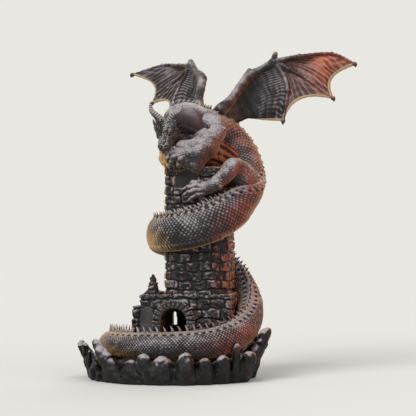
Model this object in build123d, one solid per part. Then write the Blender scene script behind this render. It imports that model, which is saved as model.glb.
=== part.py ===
"""A dragon coiled round a castle tower on a rock base: a cast resin figure, in millimetres.

The figure stands on Z 0 with the middle of its base slab at the origin. The gate faces -Y.
The dragon faces its front left, which is -X and -Y, and its left wing spreads towards +X.
"""

from build123d import *

import math
import os

# ---------------------------------------------------------------- rock base
BASE_SIDES = 18
BASE_APOTHEM = 40.0  # middle of the slab to a side, at the ground
BASE_HEIGHT = 14.0
BASE_LEAN = 0.44  # how far the sides lean out for each millimetre of height
BASE_DRIFT = 0.09  # how far the middle moves towards +X for each millimetre of height
SHARD_GAP = 0.5  # between a shard and the next one
SHARD_TIP_SHARE = 0.42  # width of a shard's tip for each millimetre of its foot
# height and thickness of each shard, counted from +X towards +Y
SHARDS = (
    *((31, 8.4), (26, 7.0), (21, 6.0), (24, 6.4), (28, 6.0), (22, 5.6), (26, 5.2), (20, 5.2), (22, 4.8)),
    *((21, 4.6), (23, 5.2), (21, 5.4), (18, 5.8), (20, 6.4), (17, 6.6), (19, 7.0), (21, 7.8), (25, 8.4)),
)
SHARD_TIP_THICKNESS = 0.6  # share of its thickness

# ---------------------------------------------------------------- tower and gate
TOWER_X, TOWER_Y = 19.8, 2.0
TOWER_TURN = -10.0  # degrees about Z: the gate face looks a little to the left
TOWER_FLAT = 37.6  # across the flats
TOWER_CHAMFER = 6.8  # legs of the cut corners
TOWER_SPLIT_Z = 88.0  # the parting line, hidden behind the dragon
TOWER_TOP_Z = 126.0
GATE_HEIGHT = 36.0  # plinth and gatehouse above the slab
PLINTH_PROUD = 1.7  # the plinth stands this far out of the tower's faces
PLINTH_RIGHT = 22.0  # from the tower's axis, along the gate face
GATE_LEFT = -32.5
GATE_SPLIT = 2.0  # where the gatehouse ends and the plinth starts
GATE_ARCH_X = -12.0
GATE_ARCH_RADIUS = 7.9
GATE_ARCH_RISE = 20.5  # springing of the arch above the slab
GATE_BACK_WALL = 4.0
GATE_SLIT_X = -18.6
GATE_SLIT_WIDTH = 2.4
GATE_SLIT_HEIGHT = 9.0
ARCH_RING_WIDTH = 5.1
ARCH_RING_PROUD = 1.4
BUTTRESS_LENGTH = 4.6
BUTTRESS_HEIGHT = 28.8
BUTTRESS_DEPTH = 14.0
SPIRE_X = -25.8
SPIRE_FOOT_RADIUS = 4.9
SPIRE_TIP_RADIUS = 1.7
SPIRE_HEIGHT = 10.5
SPIRE_PLINTH = 1.6
CROWN_HEIGHT = 5.0
CROWN_WALL = 4.2
CROWN_SECTOR = 8.6
ARROW_SLIT = (2.4, 3.0, 10.0)  # width, depth, height
ARROW_SLIT_Z = 113.0

# ---------------------------------------------------------------- casting keys
KEY_SIDE = 4.0  # square keys and pegs on the cast pieces
KEY_LENGTH = 4.0
KEY_CLEARANCE = 0.1  # each side
TOWER_KEY_SIDE = 12.0

# ---------------------------------------------------------------- dragon's body
SECTION_SIDES = 12
RING_STEP = 0.5  # rings for each station of the spine
BED_GAP = 0.1  # the tail above the slab
# station: x, y, z, half width, half depth, dorsal direction
FRONT_STATIONS = (
    (1.2, -12.5, 154.0, 4.8, 4.8, (0.1, 0.3, 0.95)),
    (6.6, -8.5, 156.5, 6.6, 6.8, (0.1, 0.1, 1.0)),
    (13.0, -2.5, 155.5, 8.8, 8.8, (0.1, 0.1, 1.0)),
    (20.0, 5.0, 150.5, 12.0, 11.6, (0.1, 0.1, 1.0)),
    (31.4, 12.0, 146.0, 11.6, 11.8, (0.3, 0.2, 0.9)),
    (43.0, 14.0, 135.0, 10.6, 11.4, (0.7, 0.45, 0.5)),
    (47.6, 8.0, 121.5, 10.2, 10.8, (0.85, 0.35, 0.35)),
    (47.0, -3.5, 110.0, 9.4, 10.8, (0.6, 0.0, 0.8)),
)
# station: turn in degrees, distance from the tower's axis, z, half width, half depth
COIL_STATIONS = (
    (42, 26.4, 101.0, 8.4, 11.0),
    (80, 25.8, 92.5, 7.4, 11.0),
    (120, 25.4, 88.0, 6.8, 10.8),
    (160, 25.5, 86.5, 6.5, 10.5),
    (200, 26.0, 84.5, 6.6, 10.2),
    (240, 28.0, 80.0, 7.0, 9.8),
    (280, 30.2, 71.0, 7.5, 9.3),
    (320, 30.0, 57.0, 7.8, 9.0),
    (360, 30.0, 42.0, 7.8, 8.8),
    (400, 33.2, 30.5, 8.0, 8.5),
    (440, 39.6, 23.4, 7.8, 8.2),
    (480, 47.5, 21.8, 7.3, 7.4),
    (520, 54.6, 21.2, 6.6, 6.9),
    (560, 52.5, 20.5, 5.9, 6.2),
    (600, 43.5, 19.5, 5.0, 5.2),
    (640, 35.5, 18.2, 3.6, 3.8),
    (680, 31.0, 15.8, 1.2, 1.3),
)
NECK_STATION = 2.5  # parting lines, counted in stations along the spine
HIP_STATION = 7.0
COIL_STATION = 11.5
TAIL_STATION = 15.5
TIP_STATION = 20.0
BARE_STATIONS = (3.5, 4.9)  # no spikes here, where the wing skins pass close to the back
SPIKE_SIDES = 4
SPIKE_PITCH = 4.6
SPIKE_HEIGHT = 4.2
SPIKE_FOOT = 1.3
SPIKE_SUNK = 1.2
BELLY_PLATES = 6
BELLY_FIRST, BELLY_LAST = 3.3, 6.0
BELLY_THICKNESS = 1.1
BELLY_HALF_ANGLE = 52.0
BELLY_SEAM = 0.5
BELLY_SUNK = 0.8  # the plates start this far down in the body, and are cut back to it

# ---------------------------------------------------------------- head
HEAD_DIRECTION = (-0.12, -0.60, -0.79)
HEAD_UP = (-0.10, -0.78, 0.60)
# along the head from the nape: distance, half width, top, bottom
SKULL_SECTIONS = (
    (0.0, 4.6, 4.0, 4.6),
    (4.0, 6.2, 5.2, 3.0),
    (8.0, 5.6, 4.6, 1.2),
    (13.0, 3.9, 3.0, 0.6),
    (18.0, 3.2, 2.6, 0.6),
    (20.5, 2.0, 1.2, 0.5),
)
JAW_SECTIONS = (
    (4.4, 4.6, -3.2, 6.2),
    (9.0, 4.0, -2.2, 5.6),
    (14.0, 3.0, -2.4, 5.2),
    (18.6, 1.8, -3.2, 4.8),
)
HORN_LENGTH = 14.5
HORN_FOOT = 2.4
HORN_TIP = 0.5
HORN_SPREAD = 0.72
HORN_FROM_NAPE = 1.6

# ---------------------------------------------------------------- limbs: x, y, z, radius
ARM_LEFT = ((26.4, -3.5, 151.0, 6.6), (34.4, -9.5, 147.0, 4.6), (24.0, -15.0, 139.8, 5.4), (15.5, -16.5, 134.6, 4.8))
HAND_LEFT = ((15.5, -16.5, 134.6, 4.8), (9.5, -18.0, 131.8, 4.4), (3.8, -18.5, 129.4, 2.2))
ARM_RIGHT = ((11.4, 7.5, 150.5, 6.2), (0.4, 4.5, 145.0, 4.6), (-2.6, -4.0, 140.0, 3.9), (-3.0, -9.0, 136.0, 3.4))
HAND_RIGHT = ((-3.0, -9.0, 136.0, 3.4), (-0.6, -12.6, 131.0, 3.6), (2.6, -15.4, 125.0, 2.0))
LEG_LEFT = ((46.0, -8.0, 121.0, 8.0), (38.0, -17.4, 127.4, 6.2), (31.8, -21.0, 119.4, 4.2), (27.0, -21.8, 114.6, 3.5))
FOOT_LEFT = ((27.0, -21.8, 114.6, 3.5), (21.0, -21.0, 112.6, 3.8), (15.0, -19.8, 111.6, 3.4), (9.8, -18.6, 111.4, 1.8))
LEG_RIGHT = ((42.4, 21.0, 122.0, 7.4), (32.4, 27.6, 129.0, 5.8), (25.8, 27.4, 119.6, 4.0), (22.8, 26.4, 114.8, 3.3))
FOOT_RIGHT = ((22.8, 26.4, 114.8, 3.3), (17.0, 25.4, 112.6, 3.6), (11.0, 24.6, 113.0, 3.2), (5.4, 23.2, 112.4, 1.8))
LIMB_SIDES = 10
HAND_FLATTEN = 0.78

# ---------------------------------------------------------------- wings: across, back, z
SHOULDER_X, SHOULDER_Y = 19.0, 5.0
DRAGON_LEFT = (0.8, -0.6)
DRAGON_BACK = (0.6, 0.8)
WING_ROOT = (7.6, 6.0, 156.5)
WING_ELBOW = (17.5, 26.5, 181.0)
WING_WRIST = (31.6, 33.8, 190.0)
FINGER_1 = {
    1: ((46.0, 40.0, 193.2), (65.0, 47.0, 194.2), (83.5, 43.0, 187.4)),
    -1: ((46.0, 40.0, 190.8), (65.0, 47.0, 191.8), (86.0, 43.0, 186.4)),
}  # by side
FINGER_2 = ((40.0, 37.4, 185.6), (50.0, 40.4, 180.0), (69.0, 41.7, 167.5))
FINGER_3 = ((37.6, 35.0, 182.0), (42.4, 32.6, 172.0), (45.0, 24.3, 154.0))
TRAILING_ROOT = (7.8, 29.6, 154.0)
MEMBRANE = 1.3
ARM_RADII = (3.6, 2.7, 2.2)
FINGER_RADII = (1.9, 1.6, 1.4, 1.2)
WING_SCALLOP = (0.20, 0.26, 0.06)  # how far each trailing edge is drawn in
WING_BILLOW = 2.4
WRIST_CLAW = 5.0
PEG_LENGTH = 7.0
PEG_END_GAP = 0.6
BOSS_RADIUS = 4.4
BOSS_LENGTH = 9.0
BOSS_PROUD = 6.0
SEAT_GAP = 0.1

Z = Vector(0, 0, 1)


# ---------------------------------------------------------------- shared shapes
def skin(rings, folded=False):
    """A closed solid of flat triangles over rings of as many points each.

    The end rings are closed by fans, or where the rings are folded sheets, by strips
    between the two halves of the ring.
    """
    count = len(rings[0])
    faces = []

    def triangle(a, b, c):
        if (b - a).cross(c - a).length > 1e-4:
            faces.append(Face(Wire.make_polygon([a, b, c], close=True)))

    for lower, upper in zip(rings, rings[1:]):
        for i in range(count):
            j = (i + 1) % count
            triangle(lower[i], lower[j], upper[j])
            triangle(lower[i], upper[j], upper[i])
    for ring in (rings[0], rings[-1]):
        if folded:
            for i in range(count // 2 - 1):
                triangle(ring[i], ring[i + 1], ring[count - 2 - i])
                triangle(ring[i], ring[count - 2 - i], ring[count - 1 - i])
        else:
            middle = sum(ring, Vector(0, 0, 0)) / count
            for i in range(count):
                triangle(middle, ring[i], ring[(i + 1) % count])
    return Solid(Shell(faces))


def ellipse_ring(middle, across, up, half_width, half_depth, sides=SECTION_SIDES):
    """Points round a section, with one flat of the polygon on top."""
    angles = [2 * math.pi * (i + 0.5) / sides + math.pi / 2 for i in range(sides)]
    return [middle + across * (half_width * math.cos(a)) + up * (half_depth * math.sin(a)) for a in angles]


def smooth(values, t):
    """The value at t of a smooth curve through equally spaced values."""
    i = max(0, min(int(t), len(values) - 2))
    f = t - i
    b, c = values[i], values[i + 1]
    a = values[i - 1] if i > 0 else b * 2 - c
    d = values[i + 2] if i + 2 < len(values) else c * 2 - b
    return (b * 2 + (c - a) * f + (a * 2 - b * 5 + c * 4 - d) * f**2 + (b * 3 - a - c * 3 + d) * f**3) * 0.5


def square(vector, axis):
    """The unit vector nearest to vector that is square to axis."""
    return (vector - axis * vector.dot(axis)).normalized()


def limb(joints, sides=LIMB_SIDES, flatten=1.0):
    """A tapered tube through joints of (x, y, z, radius), with a ring at each and one between."""
    points = [Vector(*j[:3]) for j in joints]
    radii = [j[3] for j in joints]
    steps = [k / 2 for k in range(2 * len(points) - 1)]
    rings = []
    across = None
    for t in steps:
        along = (smooth(points, t + 0.05) - smooth(points, t - 0.05)).normalized()
        across = square(across or Vector(along.Y, -along.X, 0.2), along)
        rings.append(
            ellipse_ring(smooth(points, t), across, along.cross(across), smooth(radii, t), smooth(radii, t) * flatten, sides)
        )
    return skin(rings)


def prism_along(start, axis, side_hint, radius, length, sides):
    """A straight prism from start along axis, radius to its flats."""
    across = square(side_hint, axis)
    up = axis.cross(across)
    corner = radius / math.cos(math.pi / sides)
    return skin([ellipse_ring(start + axis * h, across, up, corner, corner, sides) for h in (0, length)])


def biggest(shape):
    """The largest solid of a shape, without slivers that a cut left."""
    return max(shape.solids(), key=lambda s: s.volume)


def cut(shape, *others):
    """shape without the others."""
    for other in others:
        shape = shape - other
    return biggest(shape)


# ---------------------------------------------------------------- tower and gate
def on_tower(shape):
    """Turns a shape drawn about the tower's axis, from the slab's top, into place."""
    return Pos(TOWER_X, TOWER_Y, BASE_HEIGHT) * Rot(0, 0, TOWER_TURN) * shape


def block(x0, x1, y0, y1, z0, z1):
    """A box between two corners."""
    return Pos((x0 + x1) / 2, (y0 + y1) / 2, (z0 + z1) / 2) * Box(x1 - x0, y1 - y0, z1 - z0)


def tower_shaft(z0, z1):
    """The chamfered square shaft between two heights above the ground."""
    outline = Rectangle(TOWER_FLAT, TOWER_FLAT)
    outline = chamfer(outline.vertices(), TOWER_CHAMFER)
    return Pos(0, 0, z0 - BASE_HEIGHT) * extrude(outline, z1 - z0)


def tower_key(z, clearance=0.0):
    """A square key that stands up from height z, or with clearance, its socket."""
    side = TOWER_KEY_SIDE + 2 * clearance
    return Pos(0, 0, z - BASE_HEIGHT + (KEY_LENGTH + clearance) / 2) * Box(side, side, KEY_LENGTH + clearance)


def build_tower():
    """The plinth, gatehouse, shaft and crown, by node name."""
    gate_top_z = BASE_HEIGHT + GATE_HEIGHT
    front = -(TOWER_FLAT / 2 + PLINTH_PROUD)
    back = -front

    plinth = block(GATE_SPLIT, PLINTH_RIGHT, front, back, 0, GATE_HEIGHT)
    plinth_key = Pos(GATE_SPLIT + TOWER_KEY_SIDE / 2 + 1, 0, GATE_HEIGHT + KEY_LENGTH / 2) * Box(
        KEY_SIDE * 2, KEY_SIDE * 2, KEY_LENGTH
    )
    socket_side = KEY_SIDE * 2 + 2 * KEY_CLEARANCE
    plinth_socket = Pos(GATE_SPLIT + TOWER_KEY_SIDE / 2 + 1, 0, GATE_HEIGHT + KEY_LENGTH / 2) * Box(
        socket_side, socket_side, KEY_LENGTH + 2 * KEY_CLEARANCE
    )
    plinth = plinth + plinth_key

    gatehouse = block(GATE_LEFT, GATE_SPLIT, front, back, 0, GATE_HEIGHT)
    depth = back - front - GATE_BACK_WALL
    passage = block(
        GATE_ARCH_X - GATE_ARCH_RADIUS, GATE_ARCH_X + GATE_ARCH_RADIUS, front, front + depth, 0, GATE_ARCH_RISE
    )
    vault = Pos(GATE_ARCH_X, front + depth / 2, GATE_ARCH_RISE) * Rot(90, 0, 0) * Cylinder(GATE_ARCH_RADIUS, depth)
    slit_z = GATE_ARCH_RISE
    slit = block(
        GATE_SLIT_X - GATE_SLIT_WIDTH / 2,
        GATE_SLIT_X + GATE_SLIT_WIDTH / 2,
        back - GATE_BACK_WALL,
        back,
        slit_z - GATE_SLIT_HEIGHT / 2,
        slit_z + GATE_SLIT_HEIGHT / 2,
    )
    gatehouse = gatehouse - passage - vault - slit

    ring_outer = GATE_ARCH_RADIUS + ARCH_RING_WIDTH
    ring_place = Pos(GATE_ARCH_X, front - ARCH_RING_PROUD / 2, GATE_ARCH_RISE)
    ring = ring_place * Rot(90, 0, 0) * Cylinder(ring_outer, ARCH_RING_PROUD)
    jambs = block(GATE_ARCH_X - ring_outer, GATE_ARCH_X + ring_outer, front - ARCH_RING_PROUD, front, 0, GATE_ARCH_RISE)
    bore = ring_place * Rot(90, 0, 0) * Cylinder(GATE_ARCH_RADIUS, ARCH_RING_PROUD)
    way = block(
        GATE_ARCH_X - GATE_ARCH_RADIUS, GATE_ARCH_X + GATE_ARCH_RADIUS, front - ARCH_RING_PROUD, front, 0, GATE_ARCH_RISE
    )
    arch = ring + jambs - bore - way

    buttress = block(GATE_LEFT - BUTTRESS_LENGTH, GATE_LEFT, front, front + BUTTRESS_DEPTH, 0, BUTTRESS_HEIGHT)

    spire_y = front + SPIRE_FOOT_RADIUS + ARCH_RING_PROUD
    spire_foot = Pos(SPIRE_X, spire_y, GATE_HEIGHT + SPIRE_PLINTH / 2) * Box(
        2 * SPIRE_FOOT_RADIUS, 2 * SPIRE_FOOT_RADIUS, SPIRE_PLINTH
    )
    spire_from = Vector(SPIRE_X, spire_y, GATE_HEIGHT + SPIRE_PLINTH)
    spire_rings = [
        ellipse_ring(spire_from + Z * h, Vector(1, 0, 0), Vector(0, 1, 0), r, r, 8)
        for h, r in ((0, SPIRE_FOOT_RADIUS), (SPIRE_HEIGHT, SPIRE_TIP_RADIUS))
    ]
    spire = spire_foot + skin(spire_rings)

    lower = tower_shaft(gate_top_z, TOWER_SPLIT_Z) - plinth_socket + tower_key(TOWER_SPLIT_Z)
    upper = tower_shaft(TOWER_SPLIT_Z, TOWER_TOP_Z) - tower_key(TOWER_SPLIT_Z, KEY_CLEARANCE)
    corner = TOWER_FLAT / 2 - TOWER_CHAMFER / 2
    arrow_slit = Pos(-corner, -corner, ARROW_SLIT_Z - BASE_HEIGHT) * Rot(0, 0, -45) * Box(*ARROW_SLIT)
    upper = upper - arrow_slit

    wall = TOWER_FLAT / 2
    crown = tower_shaft(TOWER_TOP_Z, TOWER_TOP_Z + CROWN_HEIGHT)
    inside = wall - CROWN_WALL
    top = TOWER_TOP_Z - BASE_HEIGHT
    hollow = block(-inside, inside, -inside, inside, top, top + CROWN_HEIGHT)
    front_gap = block(-wall + CROWN_SECTOR, wall, -wall, wall - CROWN_SECTOR, top, top + CROWN_HEIGHT)
    back_gap = block(-wall + CROWN_SECTOR * 1.6, wall - CROWN_SECTOR, -wall, wall, top, top + CROWN_HEIGHT)
    crown = crown - hollow - front_gap - back_gap

    pieces = {
        "tower_plinth": plinth,
        "gatehouse": gatehouse,
        "gate_arch": arch,
        "gate_buttress": buttress,
        "turret_spire": spire,
        "tower_lower": lower,
        "tower_upper": upper,
        "tower_crown": crown,
    }
    return {name: on_tower(shape) for name, shape in pieces.items()}


# ---------------------------------------------------------------- rock base
def build_base():
    """The ground slab, and the shards that lean out of its sides."""
    half_turn = math.pi / BASE_SIDES
    top_apothem = BASE_APOTHEM + BASE_LEAN * BASE_HEIGHT

    def ring(apothem, z):
        corner = apothem / math.cos(half_turn)
        angles = [half_turn * (2 * i + 1) for i in range(BASE_SIDES)]
        return [Vector(corner * math.cos(a) + BASE_DRIFT * z, corner * math.sin(a), z) for a in angles]

    slab = skin([ring(BASE_APOTHEM, 0), ring(top_apothem, BASE_HEIGHT)])
    shards = []
    foot_half = BASE_APOTHEM * math.tan(half_turn) - SHARD_GAP / 2
    for i, (height, thick) in enumerate(SHARDS):
        angle = 2 * half_turn * i
        out = Vector(math.cos(angle), math.sin(angle), 0)
        along = Vector(-math.sin(angle), math.cos(angle), 0)

        def section(z, half, thickness, shift=0.0):
            inner = out * (BASE_APOTHEM + BASE_LEAN * z) + Vector(BASE_DRIFT * z, 0, z)
            outer = inner + out * thickness
            return [
                inner + along * (shift - half),
                outer + along * (shift - half),
                outer + along * (shift + half),
                inner + along * (shift + half),
            ]

        shift = foot_half * (1 - SHARD_TIP_SHARE) * (0.5 if i % 2 else -0.4)
        shards.append(
            skin(
                [
                    section(0, foot_half, thick * 0.9),
                    section(height * 0.62, foot_half, thick),
                    section(height, foot_half * SHARD_TIP_SHARE, thick * SHARD_TIP_THICKNESS, shift),
                ]
            )
        )
    return slab, shards


# ---------------------------------------------------------------- dragon's body
class Spine:
    """The line of the dragon's back, from its nape to the tip of its tail."""

    def __init__(self):
        self.points, self.dorsal, self.half_width, self.half_depth = [], [], [], []
        for x, y, z, half_width, half_depth, dorsal in FRONT_STATIONS:
            self.points.append(Vector(x, y, z))
            self.dorsal.append(Vector(*dorsal))
            self.half_width.append(half_width)
            self.half_depth.append(half_depth)
        for turn, distance, z, half_width, half_depth in COIL_STATIONS:
            angle = math.radians(-turn)
            z = max(z, BASE_HEIGHT + BED_GAP + half_depth)
            self.points.append(
                Vector(TOWER_X + distance * math.cos(angle), TOWER_Y + distance * math.sin(angle), z)
            )
            self.dorsal.append(Z)
            self.half_width.append(half_width)
            self.half_depth.append(half_depth)
        self.last = len(self.points) - 1

    def frame(self, t):
        """The middle, the direction across and the dorsal direction at station t."""
        middle = smooth(self.points, t)
        along = (smooth(self.points, t + 0.05) - smooth(self.points, t - 0.05)).normalized()
        dorsal = square(smooth(self.dorsal, t), along)
        return middle, along.cross(dorsal), dorsal, along

    def ring(self, t, grow=0.0):
        """The section at station t, as points."""
        middle, across, dorsal, _ = self.frame(t)
        return ellipse_ring(
            middle, across, dorsal, smooth(self.half_width, t) + grow, smooth(self.half_depth, t) + grow
        )

    def piece(self, start, end):
        """The body between two stations."""
        count = max(2, math.ceil((end - start) / RING_STEP))
        return skin([self.ring(start + (end - start) * k / count) for k in range(count + 1)])

    def key(self, t, clearance=0.0):
        """A square key along the spine from station t towards the tail, or its socket."""
        middle, across, dorsal, along = self.frame(t)
        radius = KEY_SIDE / 2 + clearance
        start = middle - along * KEY_LENGTH
        return prism_along(start, along, across, radius, 2 * KEY_LENGTH + clearance, 4)

    def spikes(self, start, end, scale=1.0):
        """A row of spikes along the back between two stations."""
        found = []
        t = start
        while t < end:
            middle, across, dorsal, along = self.frame(t)
            half_depth = smooth(self.half_depth, t)
            size = scale * min(1.0, half_depth / 6.0)
            foot = middle + dorsal * (half_depth - SPIKE_SUNK)
            tip = foot + dorsal * (SPIKE_SUNK + SPIKE_HEIGHT * size) + along * (SPIKE_HEIGHT * 0.4 * size)
            rings = [
                ellipse_ring(foot, across, along, SPIKE_FOOT * size, SPIKE_FOOT * 1.2 * size, SPIKE_SIDES),
                ellipse_ring(tip, across, along, SPIKE_FOOT * 0.15, SPIKE_FOOT * 0.15, SPIKE_SIDES),
            ]
            found.append(skin(rings))
            step = (smooth(self.points, t + 0.1) - smooth(self.points, t)).length / 0.1
            t += SPIKE_PITCH / step
        return found


def belly_plates(spine):
    """Overlapping scutes along the chest and belly, on the side away from the spikes."""
    plates = []
    arc = [math.radians(-90 + BELLY_HALF_ANGLE * (k / 4 - 1)) for k in range(9)]
    for i in range(BELLY_PLATES):
        length = (BELLY_LAST - BELLY_FIRST) / BELLY_PLATES
        start = BELLY_FIRST + length * i
        rings = []
        for t, grow in ((start, 0.7), (start + length - BELLY_SEAM / 12, 1.0)):
            middle, across, dorsal, _ = spine.frame(t)
            width, depth = smooth(spine.half_width, t), smooth(spine.half_depth, t)
            outer = [
                middle
                + across * ((width + BELLY_THICKNESS * grow) * math.cos(a))
                + dorsal * ((depth + BELLY_THICKNESS * grow) * math.sin(a))
                for a in arc
            ]
            inner = [
                middle + across * (BELLY_SUNK * width * math.cos(a)) + dorsal * (BELLY_SUNK * depth * math.sin(a))
                for a in reversed(arc)
            ]
            rings.append(outer + inner)
        plates.append(skin(rings, folded=True))
    return plates


# ---------------------------------------------------------------- head
class Head:
    """The head's own frame, and the solids drawn in it."""

    def __init__(self, nape):
        self.nape = nape
        self.along = Vector(*HEAD_DIRECTION).normalized()
        self.up = square(Vector(*HEAD_UP), self.along)
        self.across = self.along.cross(self.up)

    def at(self, along, across, up):
        """A point of the head's frame."""
        return self.nape + self.along * along + self.across * across + self.up * up

    def section(self, along, half_width, top, bottom):
        """An eight-sided section; top and bottom are distances from the head's axis."""
        rounded = 0.62
        corners = []
        for u, w in ((top, rounded), (top * 0.55, 1.0), (-bottom * 0.55, 1.0), (-bottom, rounded)):
            corners.append((w * half_width, u))
        corners += [(-w, u) for w, u in reversed(corners)]
        return [self.at(along, w, u) for w, u in corners]

    def skull(self):
        """The skull and upper jaw."""
        return skin([self.section(*s) for s in SKULL_SECTIONS])

    def jaw(self):
        """The lower jaw, hung open."""
        rings = []
        for along, half_width, top, bottom in JAW_SECTIONS:
            rounded = 0.7
            corners = [(half_width, top), (half_width * rounded, -bottom)]
            corners += [(-w, u) for w, u in reversed(corners)]
            rings.append([self.at(along, w, u) for w, u in corners])
        return skin(rings)

    def horn(self, side):
        """A curved horn that rises from the nape on one side."""
        foot = self.at(HORN_FROM_NAPE, side * 3.0, 2.6)
        out = (self.along * -0.75 + self.up * 0.25 + self.across * (side * HORN_SPREAD)).normalized()
        curl = (self.along * -0.4 + self.up * 0.55 - self.across * (side * 0.2)).normalized()
        joints = []
        for k in range(4):
            share = k / 3
            place = foot + out * (HORN_LENGTH * share) + curl * (HORN_LENGTH * 0.22 * share**2)
            joints.append((place.X, place.Y, place.Z, HORN_FOOT + (HORN_TIP - HORN_FOOT) * share))
        return limb(joints, 6)


# ---------------------------------------------------------------- wings
class Wing:
    """One wing: side 1 is the dragon's left and -1 its right."""

    def __init__(self, side):
        self.side = side
        self.root = self.place(WING_ROOT)
        self.elbow = self.place(WING_ELBOW)
        self.wrist = self.place(WING_WRIST)
        self.trailing = self.place(TRAILING_ROOT)
        self.axis = (self.elbow - self.root).normalized()
        self.hint = Vector(DRAGON_LEFT[0], DRAGON_LEFT[1], 0)
        self.seat = self.root + self.axis * BOSS_PROUD
        self.fingers = [[self.wrist] + [self.place(p) for p in finger] for finger in (FINGER_1[side], FINGER_2, FINGER_3)]

    def place(self, point):
        """A point given across and back from the shoulders, on this side."""
        across, back, z = point
        return Vector(
            SHOULDER_X + DRAGON_LEFT[0] * self.side * across + DRAGON_BACK[0] * back,
            SHOULDER_Y + DRAGON_LEFT[1] * self.side * across + DRAGON_BACK[1] * back,
            z,
        )

    def boss(self):
        """The round seat on the shoulder, sunk in the body."""
        return prism_along(self.seat - self.axis * BOSS_LENGTH, self.axis, self.hint, BOSS_RADIUS, BOSS_LENGTH, 10)

    def socket(self):
        """The square hole in the seat."""
        depth = PEG_LENGTH + PEG_END_GAP
        radius = KEY_SIDE / 2 + KEY_CLEARANCE
        return prism_along(self.seat - self.axis * depth, self.axis, self.hint, radius, depth + 2 * SEAT_GAP, 4)

    def peg(self):
        """The square peg, and the flange that seats on the boss."""
        peg = prism_along(self.seat - self.axis * PEG_LENGTH, self.axis, self.hint, KEY_SIDE / 2, PEG_LENGTH + 3, 4)
        flange = prism_along(self.seat + self.axis * SEAT_GAP, self.axis, self.hint, ARM_RADII[0], 2.5, 10)
        return peg + flange

    def bones(self):
        """Upper arm, forearm, three fingers and the claws at the joints."""
        start = self.seat + self.axis * (SEAT_GAP + 1)
        arm = limb(
            [
                (*start, ARM_RADII[0]),
                (*self.elbow, ARM_RADII[1]),
                (*self.wrist, ARM_RADII[2]),
            ],
            8,
        )
        shape = arm
        for finger in self.fingers:
            shape = shape + limb([(*p, r) for p, r in zip(finger, FINGER_RADII)], 6)
        for joint in (self.elbow, self.wrist):
            tip = joint + Z * WRIST_CLAW - self.hint * (self.side * 1.0)
            middle = (joint + tip) / 2
            shape = shape + limb([(*joint, 1.8), (*middle, 1.5), (*tip, 0.6)], 6)
        return shape

    def panel(self, left, right, top, bottom, steps=6):
        """A thin sheet between four edges, each a function from 0 to 1."""

        def middle(s, v):
            corners = (
                top(0) * ((1 - s) * (1 - v)) + top(1) * ((1 - s) * v) + bottom(0) * (s * (1 - v)) + bottom(1) * (s * v)
            )
            return top(v) * (1 - s) + bottom(v) * s + left(s) * (1 - v) + right(s) * v - corners

        small = 0.01
        grid_front, grid_back = [], []
        for i in range(steps + 1):
            row_front, row_back = [], []
            for j in range(steps + 1):
                s, v = i / steps, j / steps
                s_in, v_in = min(max(s, small), 1 - small), min(max(v, small), 1 - small)
                down = middle(s_in + small, v_in) - middle(s_in - small, v_in)
                over = middle(s_in, v_in + small) - middle(s_in, v_in - small)
                normal = down.cross(over).normalized()
                point = middle(s, v) + normal * (WING_BILLOW * self.side * math.sin(math.pi * v) * s)
                row_front.append(point + normal * (MEMBRANE / 2))
                row_back.append(point - normal * (MEMBRANE / 2))
            grid_front.append(row_front)
            grid_back.append(row_back)
        rings = [front + back[::-1] for front, back in zip(grid_front, grid_back)]
        return skin(rings, folded=True)

    def membrane(self):
        """Three panels of skin between the fingers and the arm."""
        first, second, third = self.fingers
        start = 0.10

        def along(points, share_from=start):
            return lambda s: smooth(points, (share_from + (1 - share_from) * s) * (len(points) - 1))

        def drawn_in(a, b, towards, share):
            return lambda v: (a * (1 - v) + b * v) + (towards - (a + b) / 2) * (share * 4 * v * (1 - v))

        panels = []
        for (one, two), share in zip(((first, second), (second, third)), WING_SCALLOP):
            left, right = along(one), along(two)
            a, b = left(0), right(0)
            panels.append(
                self.panel(
                    left,
                    right,
                    lambda v, a=a, b=b: a * (1 - v) + b * v,
                    drawn_in(one[-1], two[-1], self.wrist, share),
                )
            )
        arm_points = [self.wrist, self.elbow, self.seat + self.axis * 3]
        left = along(third, 0.02)
        inner = arm_points[-1]
        panels.append(
            self.panel(
                left,
                lambda s: inner * (1 - s) + self.trailing * s,
                lambda v: smooth([left(0), *arm_points[1:]], 2 * v),
                drawn_in(third[-1], self.trailing, self.elbow, WING_SCALLOP[2]),
            )
        )
        return panels

    def frame(self):
        """The bones of the wing with its peg."""
        return biggest(self.bones() + self.peg())


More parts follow.
